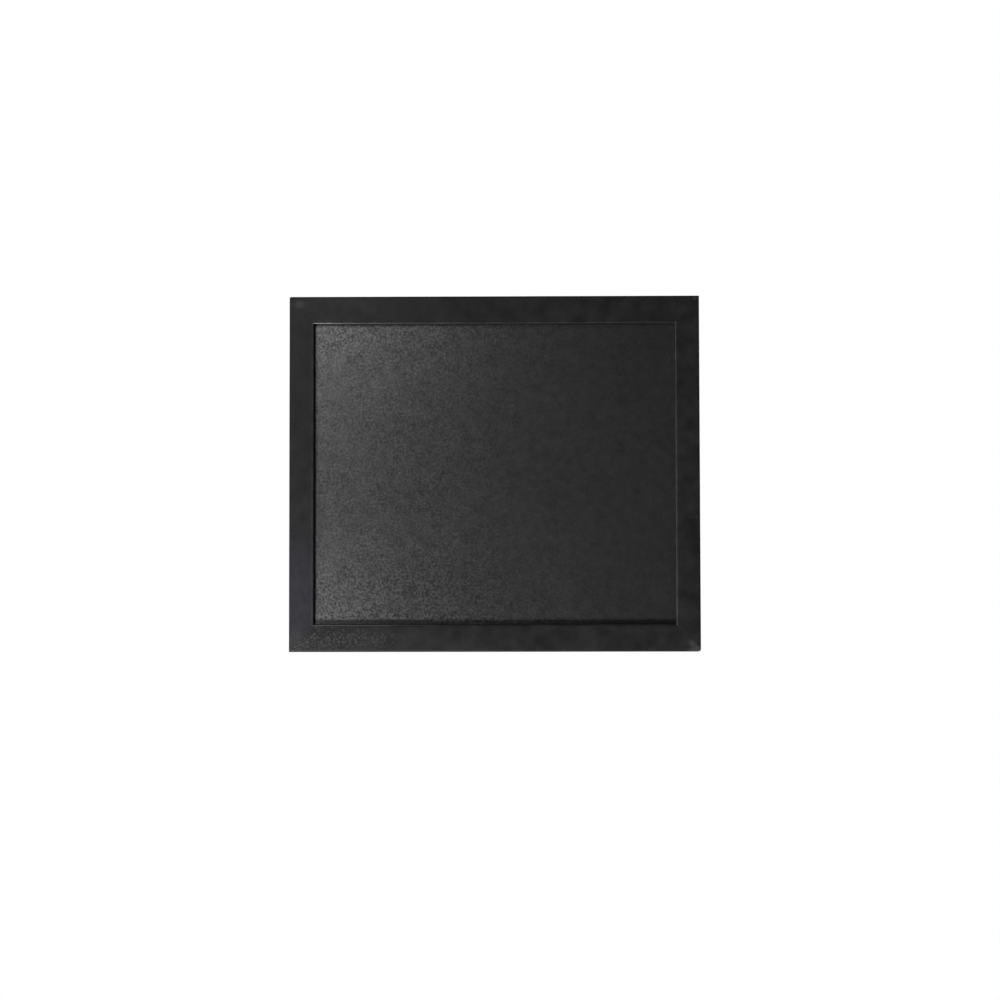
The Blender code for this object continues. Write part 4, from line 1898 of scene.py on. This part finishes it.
@dataclass(frozen=True)
class WallBumper:
    """Round rubber foot behind a lower corner."""

    x: float = 0.1104
    z: float = -0.2232
    base: float = 0.0003
    top: float = 0.0043
    radius: float = 0.0042
    flat: float = 0.0026
    rim: float = 0.0005
    rim_round: float = 0.0001
    foot_round: float = 0.00012
    shoulder_step: float = 0.00025
    dimple: float = 0.0011
    dimple_depth: float = 0.0002
    dimple_margin: float = 1.15
    dimple_slope: float = 0.6
    centre_radius: float = 0.00005
    steps: int = 96
    shoulder_steps: int = 16
    flat_steps: int = 3
    dish_steps: int = 9

    def build(self, hand: Hand, rubber: bpy.types.Material) -> None:
        """Makes one bumper: a rim, a shoulder that is a quarter ellipse, a flat top and a dimple in it.

        Args:
            hand: Which side of the board.
            rubber: Its finish.
        """
        base, top, rim_top = self.base, self.top, self.base + self.rim
        shoulder = arc_points((0.0, 0.0), 1.0, 0.0, QUARTER_TURN, self.shoulder_steps)
        wide = self.radius - self.shoulder_step - self.flat
        rises = rim_top + (top - base - self.rim) * shoulder[:, 1]
        inner = np.linspace(self.flat, self.dimple * self.dimple_margin, self.flat_steps + 1)[1:]
        dish = np.linspace(self.dimple, self.centre_radius, self.dish_steps + 1)
        dip = self.dimple_depth * smooth_step(-dish, -self.dimple, -self.dimple * self.dimple_slope)
        rounded = [
            (self.radius - self.foot_round, base),
            (self.radius, base + self.foot_round),
            (self.radius, rim_top - self.rim_round),
            (self.radius - self.rim_round, rim_top),
        ]
        curved = np.stack((self.flat + wide * shoulder[:, 0], rises), axis=1)
        flat_top = np.stack((inner, np.full(len(inner), top)), axis=1)
        profile = np.concatenate((rounded, curved, flat_top, np.stack((dish, top - dip), axis=1)))
        mesh = lofted("wall_bumper", turned_grid(profile, self.steps))
        mesh = placed(mesh, 0.0, (hand.value * self.x, 0.0, self.z))
        Piece(f"{hand.label}_wall_bumper", "grey_rubber").add(mesh, rubber)


# Studio


@dataclass(frozen=True)
class SoftLamp:
    """Rectangular soft lamp, turned towards the board's middle."""

    name: str
    place: Triple
    width: float
    height: float
    brightness: float

    def build(self, target: Vector) -> None:
        """Makes the lamp.

        Args:
            target: Point that it faces.
        """
        data = bpy.data.lights.new(self.name, "AREA")
        data.shape = "RECTANGLE"
        data.size, data.size_y = self.width, self.height
        data.energy = self.brightness * math.pi * self.width * self.height
        lamp = bpy.data.objects.new(self.name, data)
        lamp.location = self.place
        lamp.rotation_mode = "QUATERNION"
        lamp.rotation_quaternion = (target - Vector(self.place)).to_track_quat("-Z", "Y")
        lamp.visible_camera = False
        bpy.context.scene.collection.objects.link(lamp)


@dataclass
class Studio:
    """Camera, lamps, surroundings and floor."""

    eye_distance: float = 1.10
    eye_offset: Pair = (0.0152, -0.0542)
    yaw: float = math.radians(-0.598)
    pitch: float = math.radians(1.901)
    roll: float = math.radians(-0.109)
    lens: float = 59.77
    sensor: float = 36.0
    lamps: tuple[SoftLamp, ...] = (
        SoftLamp("upper_lamp", (-0.347, -1.0, 0.330), 0.35, 0.57, 3.75),
        SoftLamp("lower_lamp", (-0.506, -1.0, -0.878), 0.5, 0.354, 41.0),
        SoftLamp("near_lamp", (-0.322, -1.0, -0.254), 0.15, 0.10, 8.0),
    )
    back_light: float = 0.9
    dim_side: float = 0.06
    dim_reach: Pair = (-0.1, 0.35)
    floor_height: float = -1.3
    floor_half: float = 1.8
    floor_tone: float = 0.7
    floor_roughness: float = 0.9
    glow_reach: Pair = (0.3, 1.3)
    glow: Pair = (0.45, 1.0)

    def build(self) -> None:
        """Makes everything round the board."""
        target = Vector((0.0, SIZES.front / 2, SIZES.middle))
        for lamp in self.lamps:
            lamp.build(target)
        self.camera()
        self.surroundings()
        self.floor()
        bpy.context.scene.view_settings.view_transform = "Standard"

    def camera(self) -> None:
        """Camera at the photograph's viewing angle, from its yaw, pitch and roll."""
        data = bpy.data.cameras.new("camera")
        data.lens, data.sensor_width = self.lens, self.sensor
        camera = bpy.data.objects.new("camera", data)
        bpy.context.scene.collection.objects.link(camera)
        forward = Vector(
            (
                math.sin(self.yaw) * math.cos(self.pitch),
                math.cos(self.yaw) * math.cos(self.pitch),
                math.sin(self.pitch),
            )
        )
        level = Vector((math.cos(self.yaw), -math.sin(self.yaw), 0.0))
        above = level.cross(forward)
        right = math.cos(self.roll) * level + math.sin(self.roll) * above
        up = right.cross(forward)
        eye = Vector((self.eye_offset[0], SIZES.front - self.eye_distance, SIZES.middle + self.eye_offset[1]))
        camera.matrix_world = Matrix.Translation(eye) @ Matrix((right, up, -forward)).transposed().to_4x4()
        bpy.context.scene.camera = camera

    def surroundings(self) -> None:
        """White behind the board for the camera, gloss and glass, dim on the camera's side for gloss."""
        world = bpy.data.worlds.new("studio")
        bpy.context.scene.world = world
        world.use_nodes = True
        graph = Graph(world.node_tree)
        background = world.node_tree.nodes["Background"]
        background.inputs["Color"].default_value = (1.0, 1.0, 1.0, 1.0)
        path = graph.node("ShaderNodeLightPath").outputs
        direction = graph.node("ShaderNodeTexCoord").outputs["Generated"]
        towards_back = graph.node("ShaderNodeSeparateXYZ", Vector=direction).outputs["Y"]
        gloss = graph.maths("MAXIMUM", path["Is Glossy Ray"], path["Is Transmission Ray"])
        shown = graph.ramp(towards_back, *self.dim_reach, self.dim_side, 1.0)
        given = graph.ramp(towards_back, *self.dim_reach, self.dim_side, self.back_light)
        light = graph.plus(graph.times(graph.minus(1.0, gloss), given), graph.times(gloss, shown))
        graph.feed(background.inputs["Strength"], graph.maths("MAXIMUM", light, path["Is Camera Ray"]))

    def floor(self) -> None:
        """Pale floor that keeps the board's shadow and glows for the camera, up to white at its border."""
        half = self.floor_half
        corners = [(-half, -half), (half, -half), (half, half), (-half, half)]
        mesh = bpy.data.meshes.new("floor")
        mesh.from_pydata([(x, y, self.floor_height) for x, y in corners], [], [(0, 1, 2, 3)])
        material = bpy.data.materials.new("pale_floor")
        material.use_nodes = True
        graph = Graph(material.node_tree)
        shader = material.node_tree.nodes["Principled BSDF"]
        tone = self.floor_tone
        shader.inputs["Base Color"].default_value = (tone, tone, tone, 1.0)
        shader.inputs["Roughness"].default_value = self.floor_roughness
        shader.inputs["Emission Color"].default_value = (1.0, 1.0, 1.0, 1.0)
        path = graph.node("ShaderNodeLightPath").outputs
        gloss = graph.maths("MAXIMUM", path["Is Glossy Ray"], path["Is Transmission Ray"])
        seen = graph.maths("MAXIMUM", path["Is Camera Ray"], gloss)
        place = graph.node("ShaderNodeTexCoord").outputs["Object"]
        away = graph.vector("LENGTH", graph.vector("MULTIPLY", place, (1.0, 1.0, 0.0)).outputs["Vector"])
        glow = graph.ramp(away.outputs["Value"], *self.glow_reach, *self.glow)
        graph.feed(shader.inputs["Emission Strength"], graph.times(seen, glow))
        mesh.materials.append(material)
        plane = bpy.data.objects.new("floor", mesh)
        bpy.context.scene.collection.objects.link(plane)


def main() -> None:
    """Builds the board's classes in order, then the studio."""
    steel = ZincPlate("zinc_plated_steel", (0.5, 0.51, 0.52), roughness=0.2, metallic=1.0).material()
    rubber = Rubber("grey_rubber", (0.1, 0.1, 0.105), roughness=0.7, specular=0.35).material()
    cutters: Cutters = {side: [] for side in Side}
    for corner in Corner:
        VNail().build(corner, steel, cutters)
    FramingPoint().build(steel, cutters)
    for hand in Hand:
        Hanger().build(hand, steel, cutters)
        WallBumper().build(hand, rubber)
    MitredFrame().build(cutters)
    WritingPanel().build()
    Studio().build()
    LOG.info("board dressed")


if __name__ == "__main__":
    logging.basicConfig(level=logging.INFO, format="%(message)s")
    main()
